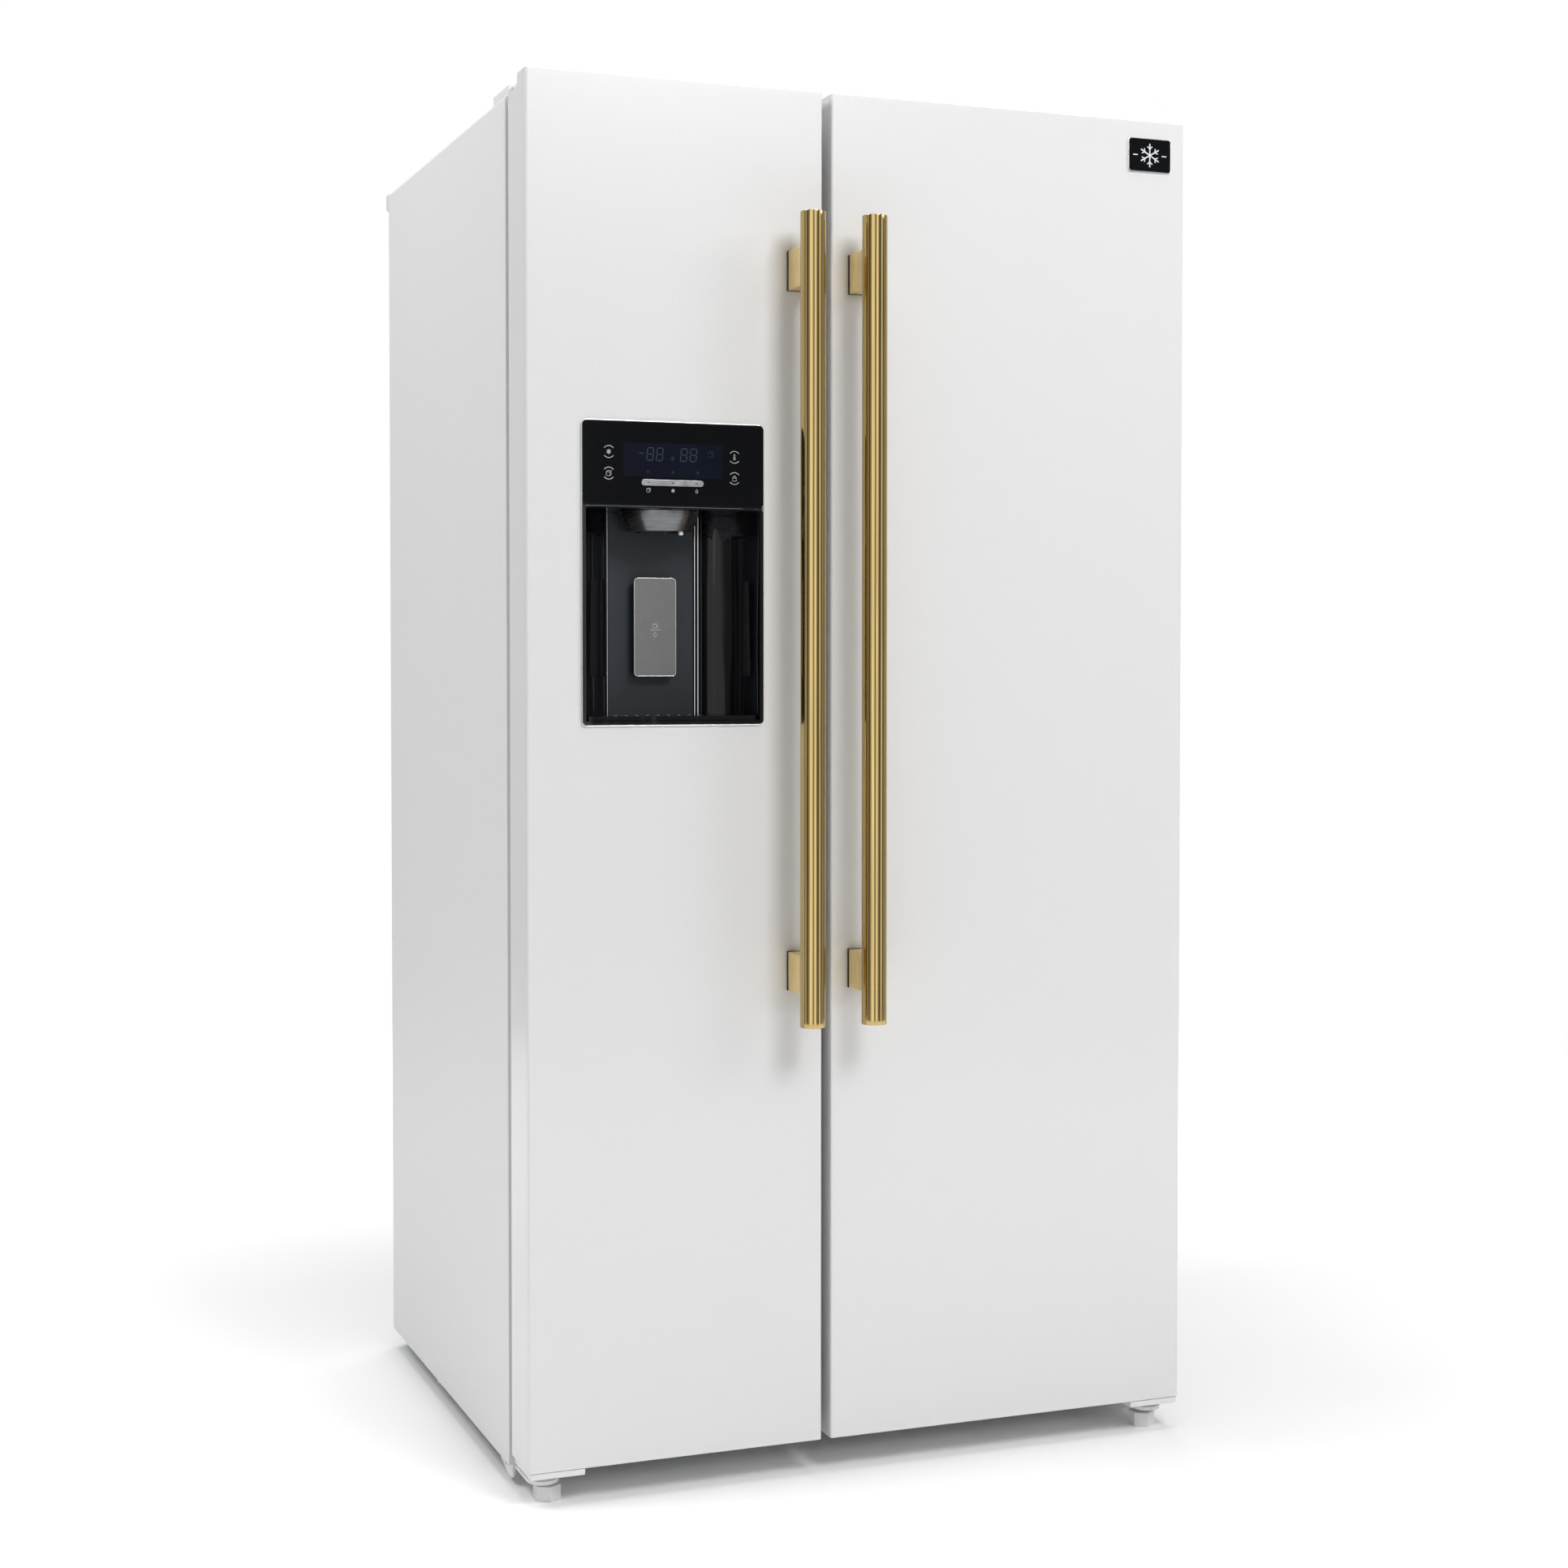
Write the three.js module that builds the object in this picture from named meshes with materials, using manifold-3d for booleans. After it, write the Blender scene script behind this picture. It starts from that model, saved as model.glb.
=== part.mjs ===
// Side by side refrigerator with an in-door ice and water dispenser.
// Units are millimetres, +Z is up. Sizes below are written with X across the width (0 = middle),
// Y from the front face of the doors towards the wall, Z from the floor. The exported group moves
// this frame so that its origin is the middle of the bounding box at floor level.
import * as THREE from "three";
import { mergeVertices } from "three/addons/utils/BufferGeometryUtils.js";
import Module from "manifold-3d";

const wasm = await Module();
wasm.setup();

// ---------------------------------------------------------------- driving dimensions
const HALF_W = 455.5; // cabinet and pair of doors are 911 wide
const DOOR_T = 82; // door thickness without gasket
const CAB_FRONT = 96; // front flange of the cabinet
const CAB_BACK = 785; // rear edge of the side sheets
const CAB_Z0 = 28, CAB_Z1 = 1751; // underside and top of the cabinet
const DOOR_Z0 = 45, DOOR_Z1 = 1765; // bottom and top of the doors
const L_DOOR = [-HALF_W, -67.5]; // freezer door, across X
const R_DOOR = [-55, HALF_W]; // refrigerator door, across X
const SHEET = 1.2; // folded steel sheet
const GAP = 0.3; // air between neighbouring pieces
const WALL = 2.5; // moulded liner thickness
const FRZ = [-405.5, -86.25]; // freezer compartment, clear width
const REF = [-36.25, 405.5]; // refrigerator compartment, clear width
const CAV_Z0 = 78, CAV_Z1 = 1701; // compartments, clear height
const CAV_BACK = 716; // compartments, clear depth above the machine room
const STEP_Y = 495, STEP_Z = 335; // step of the liners over the machine room
const HINGE_X = 433.5, HINGE_Y = 62; // door hinge axes, at +X and -X
const FOOT_X = 421.5, FOOT_Y = 40; // front levelling feet
const ROLLER_X = 400, ROLLER_Y = 735, ROLLER_R = 19;
const BAR_R = 16, BAR_Y = -57, BAR_Z0 = 587, BAR_Z1 = 1603; // handle bars
const BAR_X = { left: -103, right: -19.5 };
const MOUNT_Z = [652, 1537]; // centres of the handle mounts
const DISP_X = -267; // middle of the dispenser
const DISP = [-386.5, -147.5]; // dispenser bezel, across X
const DISP_Z = [965, 1237.2, 1342]; // bezel bottom, bottom of the control panel, top
const SHELF_FRONT = 216;
const REAR = 804, FRONT = BAR_Y - BAR_R; // extreme Y values
const Y_MID = (REAR + FRONT) / 2;

// ---------------------------------------------------------------- solids from three.js geometry
function solid(geometry) {
  const g = geometry.index ? geometry.toNonIndexed() : geometry.clone();
  for (const k of Object.keys(g.attributes)) if (k !== "position") g.deleteAttribute(k);
  const m = mergeVertices(g, 1e-4);
  return new wasm.Manifold(
    new wasm.Mesh({
      numProp: 3,
      vertProperties: new Float32Array(m.attributes.position.array),
      triVerts: new Uint32Array(m.index.array),
    }),
  );
}
function box(x0, x1, y0, y1, z0, z1) {
  const g = new THREE.BoxGeometry(x1 - x0, y1 - y0, z1 - z0);
  g.translate((x0 + x1) / 2, (y0 + y1) / 2, (z0 + z1) / 2);
  return solid(g);
}
function extrude(points, depth) {
  const pts = points.map(([u, v]) => new THREE.Vector2(u, v));
  if (THREE.ShapeUtils.area(pts) < 0) pts.reverse();
  return new THREE.ExtrudeGeometry(new THREE.Shape(pts), { depth, bevelEnabled: false, steps: 1 });
}
function prismZ(points, z0, z1) {
  const g = extrude(points, z1 - z0);
  g.translate(0, 0, z0);
  return solid(g);
}
function prismY(points, y0, y1) { // points are (x, z)
  const g = extrude(points, y1 - y0);
  g.rotateX(Math.PI / 2);
  g.translate(0, y1, 0);
  return solid(g);
}
function prismX(points, x0, x1) { // points are (y, z)
  const g = extrude(points, x1 - x0);
  g.applyMatrix4(new THREE.Matrix4().set(0, 0, 1, x0, 1, 0, 0, 0, 0, 1, 0, 0, 0, 0, 0, 1));
  return solid(g);
}
function cylZ(x, y, r, z0, z1, n = 24) {
  const g = new THREE.CylinderGeometry(r, r, z1 - z0, n);
  g.rotateX(Math.PI / 2);
  g.translate(x, y, (z0 + z1) / 2);
  return solid(g);
}
function cylY(x, z, r, y0, y1, n = 24) {
  const g = new THREE.CylinderGeometry(r, r, y1 - y0, n);
  g.translate(x, (y0 + y1) / 2, z);
  return solid(g);
}
function cylX(y, z, r, x0, x1, n = 24) {
  const g = new THREE.CylinderGeometry(r, r, x1 - x0, n);
  g.rotateZ(Math.PI / 2);
  g.translate((x0 + x1) / 2, y, z);
  return solid(g);
}
function latheZ(x, y, profile, n = 24) { // profile is (radius, z) from bottom to top
  const g = new THREE.LatheGeometry(profile.map(([r, z]) => new THREE.Vector2(r, z)), n);
  g.rotateX(Math.PI / 2);
  g.translate(x, y, 0);
  return solid(g);
}
function rounded(u0, u1, v0, v1, r, n = 4) {
  const pts = [];
  for (const [cu, cv, a0] of [[u1 - r, v1 - r, 0], [u0 + r, v1 - r, 90], [u0 + r, v0 + r, 180], [u1 - r, v0 + r, 270]])
    for (let i = 0; i <= n; i++) {
      const a = ((a0 + (90 * i) / n) * Math.PI) / 180;
      pts.push([cu + r * Math.cos(a), cv + r * Math.sin(a)]);
    }
  return pts;
}
const add = (first, ...rest) => rest.reduce((a, b) => a.add(b), first);
const cut = (first, ...rest) => rest.reduce((a, b) => a.subtract(b), first);
const mirrorPts = (pts) => pts.map(([u, v]) => [-u, v]);

// ---------------------------------------------------------------- materials
const paint = (color, roughness, metalness = 0) => new THREE.MeshStandardMaterial({ color, roughness, metalness });
const M = {
  white: paint(0xececec, 0.35),
  texturedWhite: paint(0xe4e4e4, 0.5),
  steel: paint(0xb9bcc0, 0.4, 1),
  galvanised: paint(0xa9adb1, 0.5, 0.9),
  foam: paint(0xe8dcb0, 0.95),
  liner: paint(0xf2f3f4, 0.35),
  brass: paint(0xa88a4a, 0.28, 1),
  blackGloss: paint(0x08090b, 0.08),
  slate: paint(0x22272b, 0.6),
  nozzle: paint(0x777a7d, 0.3, 0.9),
  paddle: paint(0x85878a, 0.45, 0.6),
  glass: paint(0xcfe3df, 0.05),
  clear: paint(0xdde7ea, 0.15),
  gasket: paint(0xd6d6d4, 0.8),
  blackPaint: paint(0x141414, 0.5),
  darkPlastic: paint(0x2b2c2e, 0.6),
  greyPlastic: paint(0xa7a9aa, 0.55),
  aluminium: paint(0xc8cacc, 0.4, 1),
  brassValve: paint(0xb08d45, 0.4, 1),
};

// ---------------------------------------------------------------- scene graph
const fridge = new THREE.Group();
fridge.name = "refrigerator";
fridge.position.y = -Y_MID;
const group = (name) => {
  const g = new THREE.Group();
  g.name = name;
  fridge.add(g);
  return g;
};
const cabinet = group("cabinet_group");
const interior = group("interior_group");
const machine = group("machine_group");
const freezerDoor = group("freezer_door_group");
const fridgeDoor = group("fridge_door_group");

function node(parent, name, manifold, material, pivot = [0, 0, 0]) {
  const m = manifold.getMesh();
  const n = m.numProp;
  const v = new Float32Array(m.numVert * 3);
  for (let i = 0; i < m.numVert; i++)
    for (let k = 0; k < 3; k++) v[i * 3 + k] = m.vertProperties[i * n + k] - pivot[k];
  const g = new THREE.BufferGeometry();
  g.setAttribute("position", new THREE.BufferAttribute(v, 3));
  g.setIndex(new THREE.BufferAttribute(new Uint32Array(m.triVerts), 1));
  g.computeVertexNormals();
  const mesh = new THREE.Mesh(g, material);
  mesh.name = name;
  mesh.position.set(...pivot);
  parent.add(mesh);
  return mesh;
}

// ---------------------------------------------------------------- cabinet
// Folded outer wrapper: two sides, top, and the front flange with the middle rail between the compartments.
const flangeHole = ([x0, x1]) => box(x0 - WALL - GAP, x1 + WALL + GAP, CAB_FRONT - 1, CAB_FRONT + SHEET + 1, CAV_Z0 - WALL - GAP, CAV_Z1 + WALL + GAP);
node(cabinet, "cabinet_wrapper", add(
  box(-HALF_W, -HALF_W + SHEET, CAB_FRONT, CAB_BACK, CAB_Z0, CAB_Z1),
  box(HALF_W - SHEET, HALF_W, CAB_FRONT, CAB_BACK, CAB_Z0, CAB_Z1),
  box(-HALF_W, HALF_W, CAB_FRONT, CAB_BACK, CAB_Z1 - SHEET, CAB_Z1),
  cut(box(-HALF_W, HALF_W, CAB_FRONT, CAB_FRONT + SHEET, CAB_Z0, CAB_Z1), flangeHole(FRZ), flangeHole(REF)),
), M.texturedWhite);

// Liners: moulded tubs with a step over the machine room and ledges for shelves and drawers.
const tubProfile = (g) => [
  [CAB_FRONT - (g > 0 ? 0 : 5), CAV_Z0 - g], [STEP_Y + g, CAV_Z0 - g], [STEP_Y + g, STEP_Z - g],
  [CAV_BACK + g, STEP_Z - g], [CAV_BACK + g, CAV_Z1 + g], [CAB_FRONT - (g > 0 ? 0 : 5), CAV_Z1 + g],
];
const tub = ([x0, x1]) => cut(prismX(tubProfile(WALL), x0 - WALL, x1 + WALL), prismX(tubProfile(0), x0, x1));
const ledges = ([x0, x1], w, y0, y1, z0, z1) => [box(x0 - 1, x0 + w, y0, y1, z0, z1), box(x1 - w, x1 + 1, y0, y1, z0, z1)];
const FRZ_SHELVES = [600, 960], REF_SHELVES = [575, 950, 1320];
node(cabinet, "freezer_liner", add(tub(FRZ),
  ...FRZ_SHELVES.flatMap((z) => ledges(FRZ, 7, 230, 620, z - 13.5, z - 5.5)),
  ...ledges(FRZ, 12, 222, STEP_Y - 4, CAV_Z0 - 1, 84),
  ...ledges(FRZ, 11, 230, 620, STEP_Z + 1, 345.4),
  ...ledges(FRZ, 9, 230, 620, 1310, 1319)), M.liner);
node(cabinet, "fridge_liner", add(tub(REF),
  ...REF_SHELVES.flatMap((z) => ledges(REF, 7, 230, 700, z - 13.5, z - 5.5)),
  ...ledges(REF, 12, 222, STEP_Y - 4, CAV_Z0 - 1, 84),
  ...ledges(REF, 11, 230, 690, STEP_Z + 1, 345.4)), M.liner);

// Foam between the wrapper, the liners and the back.
node(cabinet, "cabinet_foam", cut(
  box(-454, 454, 97.5, 784.2, 30.6, 1749.5),
  prismX(tubProfile(WALL + GAP), FRZ[0] - WALL - GAP, FRZ[1] + WALL + GAP),
  prismX(tubProfile(WALL + GAP), REF[0] - WALL - GAP, REF[1] + WALL + GAP),
  box(-460, 460, 544, 800, 0, 286),
), M.foam);

// Back sheet, folded in over the machine room.
node(cabinet, "rear_panel", prismX([
  [544.5, 30.6], [545.7, 30.6], [545.7, 284.3], [785.8, 284.3], [785.8, 1749.5], [784.6, 1749.5], [784.6, 285.5], [544.5, 285.5],
], -454, 454), M.galvanised);

// Base pan with the rear roller brackets and the rail ends.
const rollerBracket = (s) => box(s * ROLLER_X - 18, s * ROLLER_X + 18, ROLLER_Y - 20, ROLLER_Y + 20, 8, 29);
const rollerSlot = (s) => box(s * ROLLER_X - 11.5, s * ROLLER_X + 11.5, ROLLER_Y - 22, ROLLER_Y + 22, 0, 31);
const rollerHole = (s) => cylX(ROLLER_Y, ROLLER_R, 4.5, s * ROLLER_X - 30, s * ROLLER_X + 30, 16);
const railEnd = (s) => cylX(493, 29, 7, s > 0 ? 450 : -454, s > 0 ? 454 : -450, 16);
node(cabinet, "base_pan", cut(
  add(box(-454, 454, 97.5, 784, CAB_Z0, 30), rollerBracket(-1), rollerBracket(1),
    cut(add(railEnd(-1), railEnd(1)), box(-460, 460, 480, 506, 30, 50))),
  rollerSlot(-1), rollerSlot(1), rollerHole(-1), rollerHole(1),
), M.galvanised);

// Top rear rail that keeps the back off the wall.
node(cabinet, "rear_top_rail", prismX(
  [[786.3, 1724], [799, 1726.5], [REAR, 1731], [REAR, 1748], [801.5, 1751], [786.3, 1751]], -HALF_W, HALF_W,
), M.greyPlastic);

// Hinges: brackets on the cabinet with their pins, and plastic covers over the upper ones.
for (const [side, s] of [["left", -1], ["right", 1]]) {
  const X = (a, b) => (s < 0 ? [-b, -a] : [a, b]);
  const bx = (a, b, y0, y1, z0, z1) => box(...X(a, b), y0, y1, z0, z1);
  node(cabinet, `top_hinge_bracket_${side}`, add(
    bx(372, 446, 104, 168, 1751.4, 1755.4), bx(HINGE_X - 9, HINGE_X + 9, HINGE_Y, 105, 1751.4, 1755.4),
    cylZ(s * HINGE_X, HINGE_Y, 9, 1751.4, 1755.4), cylZ(s * HINGE_X, HINGE_Y, 5, 1726, 1755, 20),
  ), M.steel, [s * HINGE_X, HINGE_Y, 1753]);
  node(cabinet, `hinge_cover_${side}`, cut(
    add(bx(368, 450, 98, 174, 1751.4, 1764), bx(HINGE_X - 11, HINGE_X + 11, HINGE_Y, 99, 1755.9, 1762.5),
      cylZ(s * HINGE_X, HINGE_Y, 11, 1755.9, 1762.5)),
    bx(370.5, 447.5, 100.5, 171.5, 1750, 1761.5), bx(HINGE_X - 11.5, HINGE_X + 11.5, 90, 102, 1750, 1755.9),
  ), M.white, [s * HINGE_X, HINGE_Y, 1756]);
  node(cabinet, `bottom_hinge_bracket_${side}`, cut(
    add(bx(392, 450, 98, 160, 23, 27.5), bx(407, 447, FOOT_Y, 100, 23, 27.5), cylZ(s * 427, FOOT_Y, 20, 23, 27.5),
      cylZ(s * HINGE_X, HINGE_Y, 5, 27, 58, 20),
      prismX([[98, 27.5], [160, 27.5], [158, 19], [122, 9], [104, 9], [98, 15]], ...X(446.5, 450))),
    cylZ(s * FOOT_X, FOOT_Y, 5.5, 20, 30), cylX(132, 20, 3.2, s * 448 - 5, s * 448 + 5, 12),
  ), M.steel, [s * HINGE_X, HINGE_Y, 25]);
  node(cabinet, `foot_${side}`, add(cylZ(s * FOOT_X, FOOT_Y, 18, 0, 19, 6), cylZ(s * FOOT_X, FOOT_Y, 5, 18, 35, 20)), M.steel, [s * FOOT_X, FOOT_Y, 0]);
  node(cabinet, `roller_${side}`, add(cylX(ROLLER_Y, ROLLER_R, ROLLER_R, s * ROLLER_X - 10, s * ROLLER_X + 10, 32),
    cylX(ROLLER_Y, ROLLER_R, 4, s * ROLLER_X - 17, s * ROLLER_X + 17, 16)), M.darkPlastic, [s * ROLLER_X, ROLLER_Y, ROLLER_R]);
}

// ---------------------------------------------------------------- machine room
const slots = [];
for (const x0 of [-300, -20, 100]) for (let i = 0; i < 7; i++) slots.push(box(x0 + i * 16, x0 + i * 16 + 6, 785, 790, 130, 230));
node(machine, "machine_cover", cut(box(-440, 440, 786.4, 788.4, 40, 282), ...slots,
  cylY(-345, 195, 11, 780, 795), cylY(380, 110, 10.5, 780, 795)), M.galvanised);
node(machine, "compressor", add(
  latheZ(200, 665, [[0, 40], [58, 40], [66, 50], [68, 70], [68, 125], [64, 150], [52, 172], [30, 184], [0, 188]], 28),
  box(112, 288, 600, 728, 31, 35), cylZ(130, 615, 7, 34, 44, 12), cylZ(270, 615, 7, 34, 44, 12),
  cylZ(200, 665, 40, 34, 60, 20), cylY(200, 110, 12, 590, 610, 16),
), M.blackPaint, [200, 665, 31]);
node(machine, "water_inlet_valve", add(
  box(-370, -320, 735, 783, 170, 220), cylY(-345, 195, 9, 782, 802, 20), box(-350, -340, 740, 780, 30.4, 171),
  cylZ(-345, 757, 12, 219, 250, 16),
), M.greyPlastic, [-345, 760, 195]);
node(machine, "power_cord_gland", cut(
  add(cylY(380, 110, 10, 779, 800, 20), cylY(380, 110, 15, 788.8, 793, 20)), cylY(380, 110, 4.5, 784, 801, 16),
), M.darkPlastic, [380, 790, 110]);

// ---------------------------------------------------------------- freezer interior
const shelf = ([x0, x1], y1, z) => add(box(x0 + 0.6, x1 - 0.6, 224, y1, z - 5, z), box(x0 + 0.6, x1 - 0.6, SHELF_FRONT, 225, z - 15, z + 2));
node(interior, "freezer_shelf_lower", shelf(FRZ, 628, FRZ_SHELVES[0]), M.glass, [0, 0, 600]);
node(interior, "freezer_shelf_upper", shelf(FRZ, 628, FRZ_SHELVES[1]), M.glass, [0, 0, 960]);
node(interior, "fridge_shelf_lower", shelf(REF, 708, REF_SHELVES[0]), M.glass, [0, 0, 575]);
node(interior, "fridge_shelf_middle", shelf(REF, 708, REF_SHELVES[1]), M.glass, [0, 0, 950]);
node(interior, "fridge_shelf_upper", shelf(REF, 708, REF_SHELVES[2]), M.glass, [0, 0, 1320]);

const drawer = ([x0, x1], y1, z0, z1) => {
  const c = (x0 + x1) / 2;
  return cut(
    box(x0 + 3.5, x1 - 3.5, SHELF_FRONT, y1, z0, z1),
    box(x0 + 6.5, x1 - 6.5, SHELF_FRONT + 5, y1 - 3, z0 + 3, z1 + 5),
    box(c - 60, c + 60, SHELF_FRONT - 5, SHELF_FRONT + 10, z1 - 26, z1 + 5),
  );
};
node(interior, "freezer_drawer_lower", drawer(FRZ, 488, 84.6, 325), M.clear, [-245.9, 216, 84.6]);
node(interior, "freezer_drawer_upper", drawer(FRZ, 622, 346, 560), M.clear, [-245.9, 216, 346]);
node(interior, "crisper_drawer_lower", drawer(REF, 488, 84.6, 325), M.clear, [184.6, 216, 84.6]);
node(interior, "crisper_drawer_upper", drawer(REF, 700, 346, 556), M.clear, [184.6, 216, 346]);

// Evaporator behind its cover, with the fan that blows through the round opening.
const FAN = [-246, 1150];
const vents = [];
for (let i = 0; i < 5; i++) vents.push(box(-370, -122, 630, 640, 700 + i * 28, 712 + i * 28));
for (let i = 0; i < 3; i++) vents.push(box(-360, -132, 630, 640, 1250 + i * 18, 1258 + i * 18));
node(interior, "evaporator_cover", cut(box(FRZ[0] + 0.6, FRZ[1] - 0.6, 632, 635, STEP_Z + 1, CAV_Z1 - 1), ...vents, cylY(FAN[0], FAN[1], 52, 630, 640, 32)), M.liner);
const fins = [];
for (let i = 0; i < 7; i++) fins.push(box(-379 + i * 44, -377 + i * 44, 650, 705, 400, 690));
const coilRow = (y, z) => cylX(y, z, 6, -392, -100, 8);
node(interior, "evaporator_coil", add(coilRow(677, 430), coilRow(677, 545), coilRow(677, 660), ...fins), M.aluminium);
const blades = [];
for (let i = 0; i < 5; i++) {
  const g = new THREE.BoxGeometry(34, 2.5, 26);
  g.rotateX(0.55);
  g.translate(29, 0, 0);
  g.rotateY((i * 2 * Math.PI) / 5);
  g.translate(FAN[0], 653, FAN[1]);
  blades.push(solid(g));
}
node(interior, "evaporator_fan", add(cylY(FAN[0], FAN[1], 17, 643, 664, 20), ...blades), M.darkPlastic, [FAN[0], 653, FAN[1]]);

// Ice bucket with its nose over the chute in the door, the auger in it and the ice maker above.
node(interior, "ice_bucket", cut(
  add(box(FRZ[0] + 3.5, FRZ[1] - 3.5, SHELF_FRONT, 622, 1319.6, 1490), box(-325, -209, 150, 217, 1319.6, 1425)),
  box(FRZ[0] + 6.5, FRZ[1] - 6.5, SHELF_FRONT + 3, 619, 1322.6, 1500), box(-322, -212, 153, 222, 1322.6, 1422),
  box(-310, -224, 156, 202, 1310, 1330),
), M.clear, [-245.9, 216, 1319.6]);
const AUG = [DISP_X, 1372];
// Spiral blade as a closed ribbon wound round the shaft.
function spiral(r0, r1, y0, y1, turns, thick, steps) {
  const pos = [], idx = [];
  for (let i = 0; i <= steps; i++) {
    const a = (i / steps) * turns * 2 * Math.PI, y = y0 + ((y1 - y0) * i) / steps;
    for (const [r, dy] of [[r0, -thick / 2], [r1, -thick / 2], [r1, thick / 2], [r0, thick / 2]])
      pos.push(AUG[0] + r * Math.cos(a), y + dy, AUG[1] + r * Math.sin(a));
    if (i) {
      const p = (i - 1) * 4, q = i * 4;
      for (let k = 0; k < 4; k++) {
        const n = (k + 1) % 4;
        idx.push(p + k, q + k, q + n, p + k, q + n, p + n);
      }
    }
  }
  const e = steps * 4;
  idx.push(0, 1, 2, 0, 2, 3, e, e + 2, e + 1, e, e + 3, e + 2);
  const g = new THREE.BufferGeometry();
  g.setAttribute("position", new THREE.Float32BufferAttribute(pos, 3));
  g.setIndex(idx);
  let s = solid(g);
  if (s.volume() < 0) {
    for (let i = 0; i < idx.length; i += 3) [idx[i + 1], idx[i + 2]] = [idx[i + 2], idx[i + 1]];
    g.setIndex(idx);
    s = solid(g);
  }
  return s;
}
node(interior, "ice_auger", add(cylY(AUG[0], AUG[1], 7, 165, 612, 16), spiral(5, 38, 210, 600, 5, 5, 90)), M.steel, [AUG[0], 400, AUG[1]]);
const pockets = [];
for (let i = 0; i < 6; i++) pockets.push(box(-385, -285, 345 + i * 43, 376 + i * 43, 1592, 1630));
node(interior, "ice_maker", cut(add(box(-404.8, -265, 329, 612, 1548, 1622), box(-404.8, -250, 270, 330, 1530, 1655)), ...pockets), M.greyPlastic);

// ---------------------------------------------------------------- doors
const recess = (s, g, y1, z1) => (s < 0 ? box(-470, -375 + g, 38 - g, y1, 1749 - g, z1) : box(375 - g, 470, 38 - g, y1, 1749 - g, z1));
const pinBores = (s) => [cylZ(s * HINGE_X, HINGE_Y, 5.6, 1718, 1756, 20), cylZ(s * HINGE_X, HINGE_Y, 5.6, 30, 62, 20)];
function doorSkin(s, [x0, x1]) {
  const outer = cut(box(x0, x1, 0, 80, DOOR_Z0, DOOR_Z1), recess(s, 0, 90, 1780));
  const inner = cut(box(x0 + SHEET, x1 - SHEET, SHEET, 90, DOOR_Z0 + SHEET, DOOR_Z1 - SHEET), recess(s, SHEET, 95, 1790));
  const block = s < 0 ? box(-452, -383, 4, 76, 37, DOOR_Z0 + 0.5) : box(383, 452, 4, 76, 37, DOOR_Z0 + 0.5);
  return cut(add(cut(outer, inner), block), ...pinBores(s));
}
function doorInner(s, [x0, x1], ringOut, ringIn) {
  const g = SHEET + GAP;
  const body = cut(box(x0 + g, x1 - g, g, DOOR_T, DOOR_Z0 + g, DOOR_Z1 - g), recess(s, g, 95, 1790));
  const ring = cut(box(...ringOut, DOOR_T - 1, 122, 88, 1691), box(...ringIn, DOOR_T - 2, 130, 102, 1677));
  return add(body, ring);
}
function gasket([x0, x1], [i0, i1]) {
  return cut(box(x0, x1, DOOR_T + GAP, CAB_FRONT - GAP, 52, 1741), box(i0, i1, 80, 100, 66, 1727));
}
function bin(pts, inner, z0, h) {
  return cut(prismZ(pts, z0, z0 + h), prismZ(inner, z0 + 3, z0 + h + 5));
}
function handle(parent, name, x) {
  node(parent, `${name}_handle_bar`, latheZ(x, BAR_Y, [[0, BAR_Z0], [14.8, BAR_Z0], [BAR_R, BAR_Z0 + 1.2], [BAR_R, BAR_Z1 - 1.2], [14.8, BAR_Z1], [0, BAR_Z1]], 32), M.brass, [x, BAR_Y, (BAR_Z0 + BAR_Z1) / 2]);
  MOUNT_Z.forEach((z, i) => node(parent, `${name}_handle_mount_${i ? "upper" : "lower"}`, cut(
    add(box(x - 13, x + 13, -8, -GAP, z - 25, z + 25), box(x - 12, x + 12, BAR_Y, -7.5, z - 24, z + 24)),
    cylZ(x, BAR_Y, BAR_R + GAP, z - 40, z + 40, 32),
  ), M.brass, [x, 0, z]));
}

// Freezer door
const dispCut = box(-384.8, -149.2, -5, 93, 966.4, 1340.1);
const chute = prismX([[155, 1325], [198, 1325], [198, 1292], [91, 1254], [91, 1294], [150, 1306]], -312, -222);
node(freezerDoor, "freezer_door_skin", cut(doorSkin(-1, L_DOOR), dispCut), M.white, [-HINGE_X, HINGE_Y, DOOR_Z0]);
node(freezerDoor, "freezer_door_inner", cut(
  add(doorInner(-1, L_DOOR, [-397, -95], [-383, -109]), box(-384, -108, DOOR_T - 1, 128, 935, 1352), box(-325, -209, DOOR_T - 1, 205, 1250, 1316)),
  dispCut, chute, ...pinBores(-1),
), M.liner, [-HINGE_X, HINGE_Y, DOOR_Z0]);
node(freezerDoor, "freezer_door_gasket", gasket([-431.5, -70.5], [-417.5, -84.5]), M.gasket, [-HINGE_X, HINGE_Y, DOOR_Z0]);
handle(freezerDoor, "freezer", BAR_X.left);
const frzBin = [[-382.6, 82.5], [-109.4, 82.5], [-109.4, 150], [-122, 196], [-130, 203], [-366, 203], [-382.6, 186]];
const frzBinIn = [[-380, 85], [-112, 85], [-112, 149], [-124.3, 194], [-131.5, 200.5], [-365, 200.5], [-380, 185]];
node(freezerDoor, "freezer_door_bin_lower", bin(frzBin, frzBinIn, 700, 112), M.clear, [-246, 82, 700]);
node(freezerDoor, "freezer_door_bin_upper", bin(frzBin, frzBinIn, 1445, 112), M.clear, [-246, 82, 1445]);

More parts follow.
